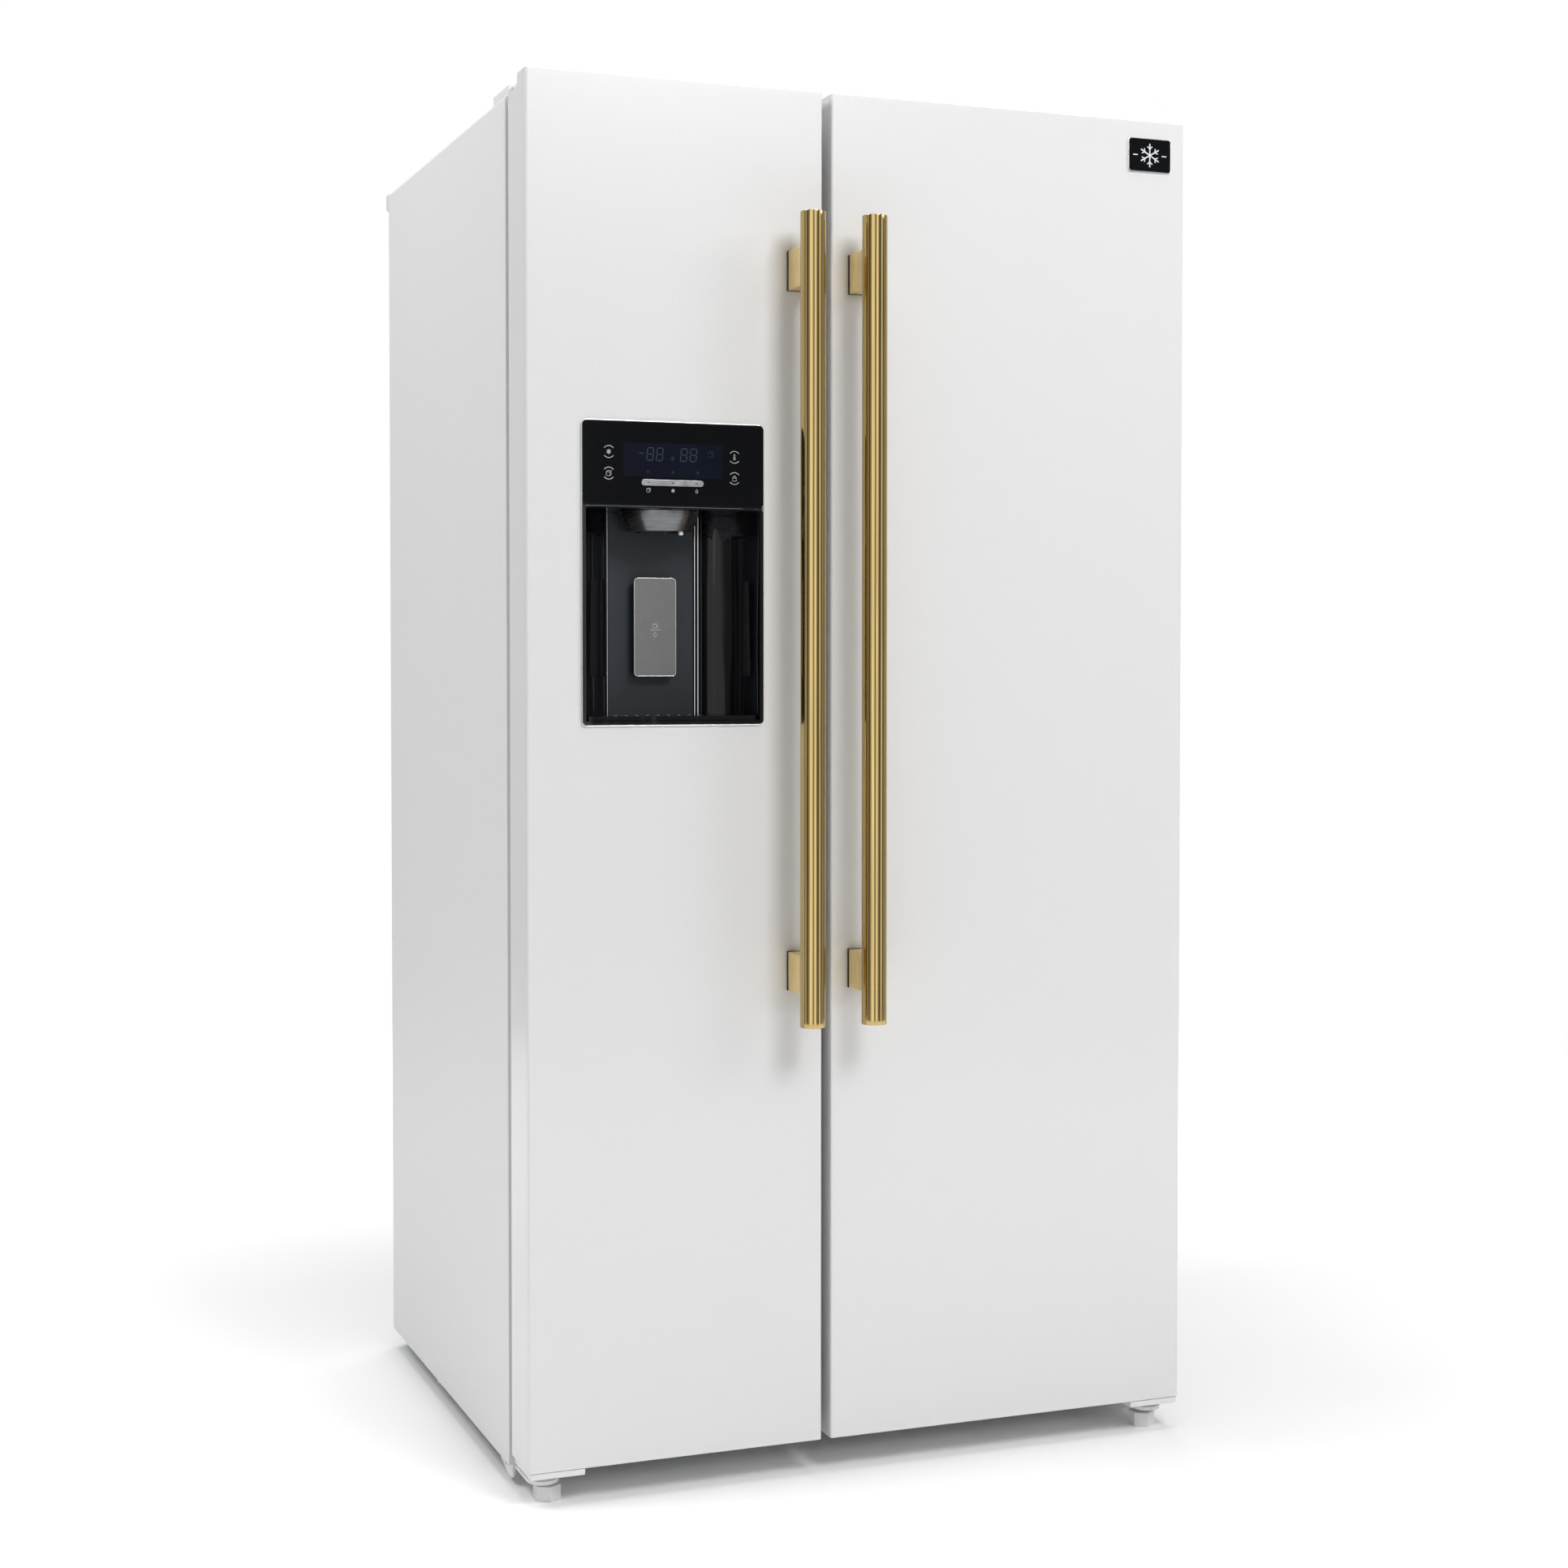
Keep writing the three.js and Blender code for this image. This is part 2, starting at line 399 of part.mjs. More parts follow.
// Dispenser: bezel and alcove, control panel, ice nozzle, paddle and drip tray.
const half = [[114, -6], [114, 4], [107, 30], [89, 55], [67, 71], [61, 79], [58, 86]];
const alcove = [...half.map(([u, v]) => [DISP_X + u, v]), ...[...half].reverse().map(([u, v]) => [DISP_X - u, v])];
node(freezerDoor, "dispenser_housing", cut(
  add(prismY(rounded(DISP[0], DISP[1], DISP_Z[0], DISP_Z[1], 5), -3, -GAP), box(-384.2, -149.8, -1, 92.5, 967, DISP_Z[1]),
    box(-384.2, -149.8, 0, 92.5, DISP_Z[1] - 1, 1339.5)),
  prismZ(alcove, 971, 1234), cylZ(DISP_X, 58, 30, 1230, 1290, 24), box(-311, -223, 58, 95, 1256, 1292),
), M.blackGloss, [DISP_X, 0, DISP_Z[0]]);
node(freezerDoor, "dispenser_panel", prismY(rounded(DISP[0], DISP[1], DISP_Z[1] + GAP, DISP_Z[2], 5), -3.6, -GAP), M.blackGloss, [DISP_X, 0, 1290]);
node(freezerDoor, "ice_chute_nozzle", cut(latheZ(DISP_X, 58, [[0, 1208], [42, 1208], [51, 1233.6], [0, 1233.6]], 32), cylZ(DISP_X, 58, 31, 1200, 1240, 24), box(-400, -100, 85.6, 200, 1200, 1240)), M.nozzle, [DISP_X, 58, 1208]);
node(freezerDoor, "dispenser_paddle", add(prismY(rounded(-296, -240, 1026, 1151, 5), 70, 75), box(-280, -256, 74, 84, 1136, 1149)), M.paddle, [-268, 80, 1143]);
const trayHalf = [[109.5, 0.5], [102, 29], [84, 53], [62, 69], [56, 76]];
const traySlots = [];
for (let i = -4; i <= 4; i++) traySlots.push(box(DISP_X + i * 14 - 3, DISP_X + i * 14 + 3, 16, 66, 970, 980));
node(freezerDoor, "dispenser_drip_tray", cut(prismZ([...trayHalf.map(([u, v]) => [DISP_X + u, v]), ...[...trayHalf].reverse().map(([u, v]) => [DISP_X - u, v])], 971.3, 977), ...traySlots), M.darkPlastic, [DISP_X, 0, 971]);

// Refrigerator door
node(fridgeDoor, "fridge_door_skin", doorSkin(1, R_DOOR), M.white, [HINGE_X, HINGE_Y, DOOR_Z0]);
node(fridgeDoor, "fridge_door_inner", cut(doorInner(1, R_DOOR, [-27.5, 397], [-13.5, 383]), ...pinBores(1)), M.liner, [HINGE_X, HINGE_Y, DOOR_Z0]);
node(fridgeDoor, "fridge_door_gasket", gasket([-52, 431.5], [-38, 417.5]), M.gasket, [HINGE_X, HINGE_Y, DOOR_Z0]);
handle(fridgeDoor, "fridge", BAR_X.right);
const refBin = [[382.6, 82.5], [-13.1, 82.5], [-13.1, 150], [0, 196], [8, 203], [366, 203], [382.6, 186]];
const refBinIn = [[380, 85], [-10.5, 85], [-10.5, 149], [2.3, 194], [9.5, 200.5], [365, 200.5], [380, 185]];
node(fridgeDoor, "fridge_door_bin_lower", bin(refBin, refBinIn, 760, 120), M.clear, [184.7, 82, 760]);
node(fridgeDoor, "fridge_door_bin_middle", bin(refBin, refBinIn, 1110, 112), M.clear, [184.7, 82, 1110]);
node(fridgeDoor, "fridge_door_bin_upper", bin(refBin, refBinIn, 1440, 112), M.clear, [184.7, 82, 1440]);
node(fridgeDoor, "dairy_lid", prismZ([[381, 90], [-11.5, 90], [-11.5, 150], [1.5, 195], [9.3, 201.5], [365, 201.5], [381, 184.5]], 1552.5, 1555.5), M.clear, [184.7, 90, 1554]);
node(fridgeDoor, "badge_plate", prismY(rounded(370.7, 434.5, 1697.7, 1742, 4), -2.6, -GAP), M.blackGloss, [402.6, 0, 1720]);

export default fridge;
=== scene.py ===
import math

import bmesh
import bpy
import numpy as np
from mathutils import Matrix, Vector


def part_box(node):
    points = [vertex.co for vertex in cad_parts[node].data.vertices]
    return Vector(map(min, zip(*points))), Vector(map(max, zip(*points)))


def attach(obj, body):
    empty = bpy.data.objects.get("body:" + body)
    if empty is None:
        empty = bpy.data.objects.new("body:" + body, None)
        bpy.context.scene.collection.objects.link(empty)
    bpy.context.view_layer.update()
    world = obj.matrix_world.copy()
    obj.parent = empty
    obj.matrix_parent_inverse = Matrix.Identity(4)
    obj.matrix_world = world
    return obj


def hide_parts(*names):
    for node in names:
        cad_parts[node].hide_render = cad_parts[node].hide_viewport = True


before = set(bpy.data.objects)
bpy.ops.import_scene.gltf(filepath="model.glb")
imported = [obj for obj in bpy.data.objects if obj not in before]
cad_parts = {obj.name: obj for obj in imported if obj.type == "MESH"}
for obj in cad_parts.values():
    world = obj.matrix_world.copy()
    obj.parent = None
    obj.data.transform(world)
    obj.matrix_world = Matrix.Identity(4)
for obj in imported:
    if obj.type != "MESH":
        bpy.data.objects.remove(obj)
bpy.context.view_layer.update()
scene = bpy.context.scene

# ------------------------------------------------------------------ frame
# Sizes are written in millimetres with Y counted from the front face of the doors, as in the CAD.
DOOR_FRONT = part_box("freezer_door_skin")[0].y  # metres, front face of the doors


def P(x, y, z):
    return Vector((x / 1000.0, y / 1000.0 + DOOR_FRONT, z / 1000.0))


# ------------------------------------------------------------------ mesh helpers
def new_object(name, bm):
    bmesh.ops.recalc_face_normals(bm, faces=bm.faces[:])
    me = bpy.data.meshes.new(name)
    bm.to_mesh(me)
    bm.free()
    ob = bpy.data.objects.new(name, me)
    scene.collection.objects.link(ob)
    return ob


def bm_box(x0, x1, y0, y1, z0, z1):
    bm = bmesh.new()
    a, b = P(x0, y0, z0), P(x1, y1, z1)
    vs = [bm.verts.new((x, y, z)) for z in (a.z, b.z) for y in (a.y, b.y) for x in (a.x, b.x)]
    for f in ((0, 2, 3, 1), (4, 5, 7, 6), (0, 1, 5, 4), (1, 3, 7, 5), (3, 2, 6, 7), (2, 0, 4, 6)):
        bm.faces.new([vs[i] for i in f])
    bm.normal_update()
    return bm


def edge_axis(e):
    d = e.verts[1].co - e.verts[0].co
    return max(range(3), key=lambda k: abs(d[k]))


def bevel(bm, pick, r, segs):
    """Rounds the edges that pick(axis, middle in mm) chooses."""
    chosen = []
    for e in bm.edges:
        m = (e.verts[0].co + e.verts[1].co) / 2
        mm = (m.x * 1000, (m.y - DOOR_FRONT) * 1000, m.z * 1000)
        if pick(edge_axis(e), mm):
            chosen.append(e)
    if chosen:
        bmesh.ops.bevel(bm, geom=chosen, offset=r / 1000, offset_type="OFFSET", segments=segs, profile=0.5, affect="EDGES", clamp_overlap=True)
    return bm


def rbox(name, x0, x1, y0, y1, z0, z1, r=1.0, segs=3, pick=None):
    bm = bm_box(x0, x1, y0, y1, z0, z1)
    if r > 0:
        bevel(bm, pick or (lambda a, m: True), r, segs)
    return new_object(name, bm)


def bm_prism(points, axis, a, b):
    """points are (x, y) for axis Z, (x, z) for axis Y and (y, z) for axis X, in mm."""
    bm = bmesh.new()

    def at(u, v, w):
        return {"Z": P(u, v, w), "Y": P(u, w, v), "X": P(w, u, v)}[axis]

    lo = [bm.verts.new(at(u, v, a)) for u, v in points]
    hi = [bm.verts.new(at(u, v, b)) for u, v in points]
    bm.faces.new(lo)
    bm.faces.new(hi[::-1])
    n = len(points)
    for i in range(n):
        j = (i + 1) % n
        bm.faces.new((lo[j], lo[i], hi[i], hi[j]))
    bm.normal_update()
    return bm


def prism(name, points, axis, a, b, r=0.0, segs=3, pick=None):
    bm = bm_prism(points, axis, a, b)
    if r > 0:
        bmesh.ops.recalc_face_normals(bm, faces=bm.faces[:])
        bevel(bm, pick or (lambda ax, m: True), r, segs)
    return new_object(name, bm)


def cyl(name, axis, c, r, a, b, n=48, chamfer=0.0, r1=None):
    """Cylinder or cone along an axis. c is its centre in the other two axes."""
    r1 = r if r1 is None else r1
    prof = [(r, a), (r1, b)]
    if chamfer:
        prof = [(r - chamfer, a), (r, a + chamfer), (r1, b - chamfer), (r1 - chamfer, b)]
    return lathe(name, axis, c, [(0, a)] + prof + [(0, b)], n)


def lathe(name, axis, c, prof, n=48):
    bm = bmesh.new()

    def at(rad, w, t):
        u, v = c[0] + rad * math.cos(t), c[1] + rad * math.sin(t)
        return {"Z": P(u, v, w), "Y": P(u, w, v), "X": P(w, u, v)}[axis]

    rows = []
    for rad, w in prof:
        if rad == 0:
            rows.append([bm.verts.new(at(0, w, 0))] * n)
        else:
            rows.append([bm.verts.new(at(rad, w, 2 * math.pi * i / n)) for i in range(n)])
    for p, q in zip(rows, rows[1:]):
        for i in range(n):
            j = (i + 1) % n
            vs = []
            for v in (p[i], p[j], q[j], q[i]):
                if v not in vs:
                    vs.append(v)
            if len(vs) > 2:
                bm.faces.new(vs)
    return new_object(name, bm)


def evaluated(ob):
    bpy.context.view_layer.update()
    dg = bpy.context.evaluated_depsgraph_get()
    me = bpy.data.meshes.new_from_object(ob.evaluated_get(dg))
    ob.modifiers.clear()
    ob.data = me
    return ob


def boolean(a, b, op="DIFFERENCE"):
    m = a.modifiers.new("cut", "BOOLEAN")
    m.object, m.operation, m.solver = b, op, "EXACT"
    evaluated(a)
    bpy.data.objects.remove(b)
    return a


def minus(a, *bs):
    for b in bs:
        boolean(a, b)
    return a


def plus(a, *bs):
    for b in bs:
        boolean(a, b, "UNION")
    return a


def join(name, objs):
    """Several closed shells as one mesh."""
    bm = bmesh.new()
    for o in objs:
        bm.from_mesh(o.data)
        bpy.data.objects.remove(o)
    me = bpy.data.meshes.new(name)
    bm.to_mesh(me)
    bm.free()
    ob = bpy.data.objects.new(name, me)
    scene.collection.objects.link(ob)
    return ob


def rounded(u0, u1, v0, v1, r, n=6):
    pts = []
    for cu, cv, a0 in ((u1 - r, v1 - r, 0), (u0 + r, v1 - r, 90), (u0 + r, v0 + r, 180), (u1 - r, v0 + r, 270)):
        for i in range(n + 1):
            a = math.radians(a0 + 90 * i / n)
            pts.append((cu + r * math.cos(a), cv + r * math.sin(a)))
    return pts


def put(ob, body, material, replaces=(), angle=32, weighted=True):
    """Finishes a piece: smooth shading with crisp corners, its material, its body and the CAD nodes it stands for."""
    me = ob.data
    me.materials.clear()
    me.materials.append(material)
    for p in me.polygons:
        p.use_smooth = True
        p.material_index = 0
    me.set_sharp_from_angle(angle=math.radians(angle))
    if weighted:
        m = ob.modifiers.new("normals", "WEIGHTED_NORMAL")
        m.keep_sharp = True
    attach(ob, body)
    if replaces:
        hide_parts(*([replaces] if isinstance(replaces, str) else replaces))
    return ob


def keep(node, material, width=0.8, segs=2, angle=35):
    """A CAD node that stays: its material, and softened edges."""
    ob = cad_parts[node]
    for i in range(max(1, len(ob.material_slots))):
        if not ob.material_slots:
            ob.data.materials.append(material)
        else:
            ob.material_slots[i].material = material
    w = ob.modifiers.new("weld", "WELD")
    w.merge_threshold = 2e-5
    d = ob.modifiers.new("flat", "DECIMATE")
    d.decimate_type, d.angle_limit = "DISSOLVE", math.radians(1.5)
    if width:
        b = ob.modifiers.new("edges", "BEVEL")
        b.width, b.segments, b.limit_method, b.angle_limit = width / 1000, segs, "ANGLE", math.radians(angle)
        b.use_clamp_overlap = True
        b.harden_normals = False
    n = ob.modifiers.new("normals", "WEIGHTED_NORMAL")
    n.keep_sharp = True
    return ob


# ------------------------------------------------------------------ materials
class Mat:
    def __init__(self, name, color, rough, metal=0.0, **sockets):
        self.m = bpy.data.materials.new(name)
        self.m.use_nodes = True
        nt = self.m.node_tree
        self.n, self.l = nt.nodes, nt.links
        self.b = self.n["Principled BSDF"]
        self.b.inputs["Base Color"].default_value = (*color, 1)
        self.b.inputs["Roughness"].default_value = rough
        self.b.inputs["Metallic"].default_value = metal
        for k, v in sockets.items():
            self.b.inputs[k.replace("_", " ")].default_value = v
        self.color, self.rough, self._h = color, rough, None

    def coords(self, stretch=(1, 1, 1)):
        tc = self.n.new("ShaderNodeTexCoord")
        mp = self.n.new("ShaderNodeMapping")
        mp.inputs["Scale"].default_value = stretch
        self.l.new(tc.outputs["Object"], mp.inputs["Vector"])
        return mp.outputs["Vector"]

    def noise(self, scale, stretch=(1, 1, 1), detail=3.0, rough=0.5):
        t = self.n.new("ShaderNodeTexNoise")
        t.inputs["Scale"].default_value = scale
        t.inputs["Detail"].default_value = detail
        t.inputs["Roughness"].default_value = rough
        self.l.new(self.coords(stretch), t.inputs["Vector"])
        return t.outputs["Fac"]

    def voronoi(self, scale, stretch=(1, 1, 1), out="Distance", feature="F1"):
        t = self.n.new("ShaderNodeTexVoronoi")
        t.feature = feature
        t.inputs["Scale"].default_value = scale
        self.l.new(self.coords(stretch), t.inputs["Vector"])
        return t.outputs[out]

    def ramp(self, fac, stops):
        r = self.n.new("ShaderNodeValToRGB")
        e = r.color_ramp.elements
        while len(e) < len(stops):
            e.new(0.5)
        for el, (pos, c) in zip(e, stops):
            el.position = pos
            el.color = (*c, 1) if len(c) == 3 else c
        self.l.new(fac, r.inputs["Fac"])
        return r.outputs["Color"]

    def tint(self, fac, amount=0.06, lo=0.35, hi=0.65):
        c = self.color
        a = tuple(max(0, v * (1 - amount)) for v in c)
        b = tuple(min(1, v * (1 + amount)) for v in c)
        self.l.new(self.ramp(fac, [(lo, a), (hi, b)]), self.b.inputs["Base Color"])
        return self

    def vary_rough(self, fac, lo, hi):
        mr = self.n.new("ShaderNodeMapRange")
        d = 0.75 * (hi - lo)
        mr.inputs["To Min"].default_value = max(0.0, lo - d)
        mr.inputs["To Max"].default_value = hi + d
        self.l.new(fac, mr.inputs["Value"])
        self.l.new(mr.outputs["Result"], self.b.inputs["Roughness"])
        return self

    def bump(self, fac, strength, distance_mm):
        bp = self.n.new("ShaderNodeBump")
        bp.inputs["Strength"].default_value = strength
        bp.inputs["Distance"].default_value = distance_mm / 1000
        self.l.new(fac, bp.inputs["Height"])
        if self._h:
            self.l.new(self._h, bp.inputs["Normal"])
        self._h = bp.outputs["Normal"]
        self.l.new(self._h, self.b.inputs["Normal"])
        return self


def build_materials():
    M = {}
    m = Mat("door_enamel", (0.745, 0.745, 0.748), 0.32, Coat_Weight=0.35, Coat_Roughness=0.12)
    m.tint(m.noise(260, detail=2), 0.006).vary_rough(m.noise(70, detail=1), 0.30, 0.34).bump(m.noise(420, detail=2), 0.05, 0.08)
    M["door"] = m.m
    m = Mat("cabinet_enamel", (0.755, 0.755, 0.757), 0.5)
    m.tint(m.noise(220, detail=2), 0.010).vary_rough(m.noise(300), 0.42, 0.55).bump(m.voronoi(430), 0.22, 0.16).bump(m.noise(700), 0.16, 0.1)
    M["cabinet"] = m.m
    m = Mat("liner_plastic", (0.83, 0.84, 0.85), 0.3)
    m.tint(m.noise(240, detail=1), 0.008).vary_rough(m.noise(180, detail=1), 0.30, 0.35).bump(m.noise(260), 0.04, 0.08)
    M["liner"] = m.m
    m = Mat("white_plastic", (0.78, 0.78, 0.78), 0.42)
    m.tint(m.noise(12), 0.015).bump(m.noise(1100), 0.12, 0.06)
    M["white_plastic"] = m.m
    m = Mat("grey_plastic", (0.44, 0.45, 0.46), 0.5)
    m.tint(m.noise(14), 0.03).bump(m.noise(900), 0.15, 0.08)
    M["grey_plastic"] = m.m
    m = Mat("rail_plastic", (0.66, 0.66, 0.66), 0.5)
    m.tint(m.noise(14), 0.02).bump(m.noise(900), 0.15, 0.08)
    M["rail"] = m.m
    m = Mat("white_steel", (0.76, 0.76, 0.755), 0.34, Coat_Weight=0.3, Coat_Roughness=0.15)
    m.tint(m.noise(30), 0.03).bump(m.noise(500), 0.08, 0.08)
    M["white_steel"] = m.m
    m = Mat("zinc_steel", (0.60, 0.61, 0.62), 0.35, 1.0)
    m.tint(m.noise(60), 0.08).vary_rough(m.noise(110), 0.26, 0.46).bump(m.noise(800, (1, 1, 0.2)), 0.08, 0.05)
    M["zinc"] = m.m
    m = Mat("galvanised_sheet", (0.46, 0.48, 0.50), 0.42, 0.85)
    m.tint(m.voronoi(70, out="Color"), 0.16, 0.2, 0.8).vary_rough(m.voronoi(70, out="Color"), 0.34, 0.5).bump(m.noise(300), 0.05, 0.05)
    M["galvanised"] = m.m
    m = Mat("insulating_foam", (0.74, 0.62, 0.36), 0.95)
    m.tint(m.noise(60), 0.15).bump(m.voronoi(260), 0.6, 0.5)
    M["foam"] = m.m
    m = Mat("seal_rubber", (0.80, 0.80, 0.795), 0.7)
    m.tint(m.noise(40), 0.04).bump(m.noise(700), 0.15, 0.08)
    M["seal"] = m.m
    m = Mat("brushed_brass", (0.50, 0.37, 0.155), 0.15, 1.0)
    m.tint(m.noise(1.0, (1300, 1300, 5), detail=3, rough=0.6), 0.22, 0.34, 0.66)
    m.vary_rough(m.noise(1.0, (1700, 1700, 7), detail=2), 0.06, 0.14).bump(m.noise(1.0, (2400, 2400, 9), detail=2), 0.08, 0.02)
    M["brass"] = m.m
    m = Mat("brushed_brass_block", (0.88, 0.70, 0.35), 0.34, 1.0)
    m.tint(m.noise(1.0, (900, 900, 30), detail=3), 0.14, 0.34, 0.66)
    m.vary_rough(m.noise(1.0, (1500, 1500, 20), detail=2), 0.3, 0.42).bump(m.noise(1.0, (2200, 2200, 24), detail=2), 0.1, 0.03)
    M["brass_block"] = m.m
    m = Mat("dark_bronze", (0.055, 0.042, 0.022), 0.38, 0.9)
    m.tint(m.noise(90), 0.3).vary_rough(m.noise(200), 0.3, 0.46)
    M["bronze"] = m.m
    m = Mat("piano_black", (0.0045, 0.005, 0.0065), 0.06, Coat_Weight=0.25, Coat_Roughness=0.03)
    m.tint(m.noise(6), 0.25).vary_rough(m.noise(24), 0.035, 0.06).bump(m.noise(36, (1, 1, 0.14), detail=1), 0.5, 2.4)
    M["black"] = m.m
    m = Mat("panel_glass_black", (0.0030, 0.0035, 0.0045), 0.05, Specular_IOR_Level=0.3)
    m.tint(m.noise(5), 0.2).vary_rough(m.noise(18), 0.035, 0.065)
    M["panel"] = m.m
    m = Mat("slate_plastic", (0.024, 0.030, 0.037), 0.42, Specular_IOR_Level=0.35)
    m.tint(m.noise(5, (1, 1, 0.4)), 0.12).vary_rough(m.noise(60), 0.38, 0.47).bump(m.noise(1400), 0.1, 0.04)
    M["slate"] = m.m
    m = Mat("display_window", (0.0035, 0.0055, 0.013), 0.12, Specular_IOR_Level=0.3)
    m.tint(m.noise(30), 0.15)
    M["display"] = m.m
    m = Mat("display_segments", (0.013, 0.016, 0.022), 0.3)
    m.tint(m.noise(300), 0.15)
    M["segments"] = m.m
    m = Mat("printed_icons", (0.72, 0.73, 0.74), 0.4)
    m.tint(m.noise(400), 0.04)
    M["icons"] = m.m
    m = Mat("silver_trim", (0.70, 0.71, 0.72), 0.22, 1.0)
    m.tint(m.noise(1.0, (200, 200, 1800)), 0.08).vary_rough(m.noise(90), 0.18, 0.28)
    M["silver"] = m.m
    m = Mat("bright_edge", (0.82, 0.83, 0.84), 0.12, 1.0)
    m.tint(m.noise(1.0, (700, 700, 12)), 0.1).vary_rough(m.noise(120), 0.08, 0.18)
    M["bright"] = m.m
    m = Mat("nozzle_steel", (0.15, 0.155, 0.165), 0.25, 1.0)
    m.tint(m.noise(1.0, (40, 40, 2600), detail=3), 0.35, 0.3, 0.7).vary_rough(m.noise(1.0, (30, 30, 1800)), 0.18, 0.36).bump(m.noise(1.0, (30, 30, 2600)), 0.12, 0.03)
    M["nozzle"] = m.m
    m = Mat("paddle_metal", (0.21, 0.212, 0.215), 0.36, 0.75)
    m.tint(m.noise(900, detail=2), 0.14).vary_rough(m.noise(500), 0.3, 0.44).bump(m.noise(1500), 0.08, 0.03)
    M["paddle"] = m.m
    m = Mat("dark_plastic", (0.022, 0.022, 0.024), 0.4)
    m.tint(m.noise(50), 0.15).bump(m.noise(1000), 0.2, 0.08)
    M["dark_plastic"] = m.m
    m = Mat("black_enamel", (0.012, 0.012, 0.012), 0.3)
    m.tint(m.noise(30), 0.3).bump(m.noise(120), 0.2, 0.3)
    M["black_enamel"] = m.m
    m = Mat("tempered_glass", (0.86, 0.955, 0.93), 0.02, Transmission_Weight=1.0, IOR=1.5)
    m.tint(m.noise(3), 0.01).vary_rough(m.noise(25), 0.0, 0.03)
    M["glass"] = m.m
    m = Mat("clear_plastic", (0.90, 0.945, 0.96), 0.06, Transmission_Weight=0.92, IOR=1.46)
    m.tint(m.noise(8), 0.015).vary_rough(m.noise(40), 0.04, 0.1).bump(m.noise(60, detail=1), 0.02, 0.3)
    M["clear"] = m.m
    m = Mat("aluminium_fins", (0.70, 0.71, 0.72), 0.35, 1.0)
    m.tint(m.noise(90), 0.08).vary_rough(m.noise(70), 0.28, 0.44)
    M["aluminium"] = m.m
    m = Mat("copper_tube", (0.62, 0.30, 0.17), 0.3, 1.0)
    m.tint(m.noise(60), 0.16).vary_rough(m.noise(90), 0.22, 0.4)
    M["copper"] = m.m
    return M


M = build_materials()

# ------------------------------------------------------------------ camera
cam_data = bpy.data.cameras.new("camera")
cam = bpy.data.objects.new("camera", cam_data)
scene.collection.objects.link(cam)
cam_data.sensor_width = 36.0
cam_data.sensor_fit = "HORIZONTAL"
cam_data.lens = 56.2
cam_data.shift_x = 0.0056
cam_data.shift_y = -0.0323
cam_data.clip_start, cam_data.clip_end = 0.05, 400
cam.location = P(-1238.0, -2892.7, 1041.5)
cam.rotation_euler = (math.radians(90 - 1.6176), 0, math.radians(-20.933))
scene.camera = cam

# ------------------------------------------------------------------ studio
scene.view_settings.view_transform = "Standard"
scene.view_settings.look = "None"
scene.view_settings.exposure = 0.0
scene.view_settings.gamma = 1.0

world = bpy.data.worlds.new("studio")
scene.world = world
world.use_nodes = True
wn, wl = world.node_tree.nodes, world.node_tree.links
wn.clear()
out = wn.new("ShaderNodeOutputWorld")
geo = wn.new("ShaderNodeTexCoord")
sep = wn.new("ShaderNodeSeparateXYZ")
wl.new(geo.outputs["Generated"], sep.inputs[0])
# soft fill that is brighter from above, for everything that scatters light
up = wn.new("ShaderNodeMapRange")
up.inputs["From Min"].default_value, up.inputs["From Max"].default_value = -0.4, 1.0
up.inputs["To Min"].default_value, up.inputs["To Max"].default_value = 0.13, 0.39
wl.new(sep.outputs["Z"], up.inputs["Value"])
fill = wn.new("ShaderNodeBackground")
wl.new(up.outputs["Result"], fill.inputs["Strength"])
fill.inputs["Color"].default_value = (1, 1, 1, 1)
# soft boxes and dark flags round the set, for what mirrors it
ang = wn.new("ShaderNodeMath"); ang.operation = "ARCTAN2"
wl.new(sep.outputs["Y"], ang.inputs[0]); wl.new(sep.outputs["X"], ang.inputs[1])
turn = wn.new("ShaderNodeMapRange")
turn.inputs["From Min"].default_value, turn.inputs["From Max"].default_value = -math.pi, math.pi
wl.new(ang.outputs[0], turn.inputs["Value"])
bands = wn.new("ShaderNodeValToRGB")
stops = [(0.0, 0.66), (0.024, 0.66), (0.034, 0.12), (0.072, 0.12), (0.080, 0.50), (0.108, 0.50), (0.118, 1.5), (0.180, 1.5), (0.190, 0.42), (0.226, 0.42),
         (0.234, 1.65), (0.262, 1.65), (0.270, 0.80), (0.288, 0.80), (0.296, 0.16), (0.348, 0.16), (0.356, 1.1), (0.388, 1.1), (0.396, 0.24), (0.446, 0.24),
         (0.456, 0.5), (0.500, 0.5), (0.512, 0.10), (0.560, 0.3), (0.60, 0.42), (0.80, 0.42), (0.89, 0.42), (0.905, 0.02), (0.945, 0.02), (0.955, 0.10), (0.985, 0.10), (0.992, 0.66)]
e = bands.color_ramp.elements
while len(e) < len(stops):
    e.new(0.5)
for el, (pos, v) in zip(e, stops):
    el.position, el.color = pos, (v, v, v, 1)
wl.new(turn.outputs["Result"], bands.inputs["Fac"])
mirror = wn.new("ShaderNodeBackground")
wl.new(bands.outputs["Color"], mirror.inputs["Color"])
mirror.inputs["Strength"].default_value = 1.0
plain = wn.new("ShaderNodeBackground")
plain.inputs["Color"].default_value, plain.inputs["Strength"].default_value = (1, 1, 1, 1), 1.0
lp = wn.new("ShaderNodeLightPath")
mix1, mix2 = wn.new("ShaderNodeMixShader"), wn.new("ShaderNodeMixShader")
wl.new(lp.outputs["Is Glossy Ray"], mix1.inputs[0])
wl.new(fill.outputs[0], mix1.inputs[1]); wl.new(mirror.outputs[0], mix1.inputs[2])
wl.new(lp.outputs["Is Camera Ray"], mix2.inputs[0])
wl.new(mix1.outputs[0], mix2.inputs[1]); wl.new(plain.outputs[0], mix2.inputs[2])
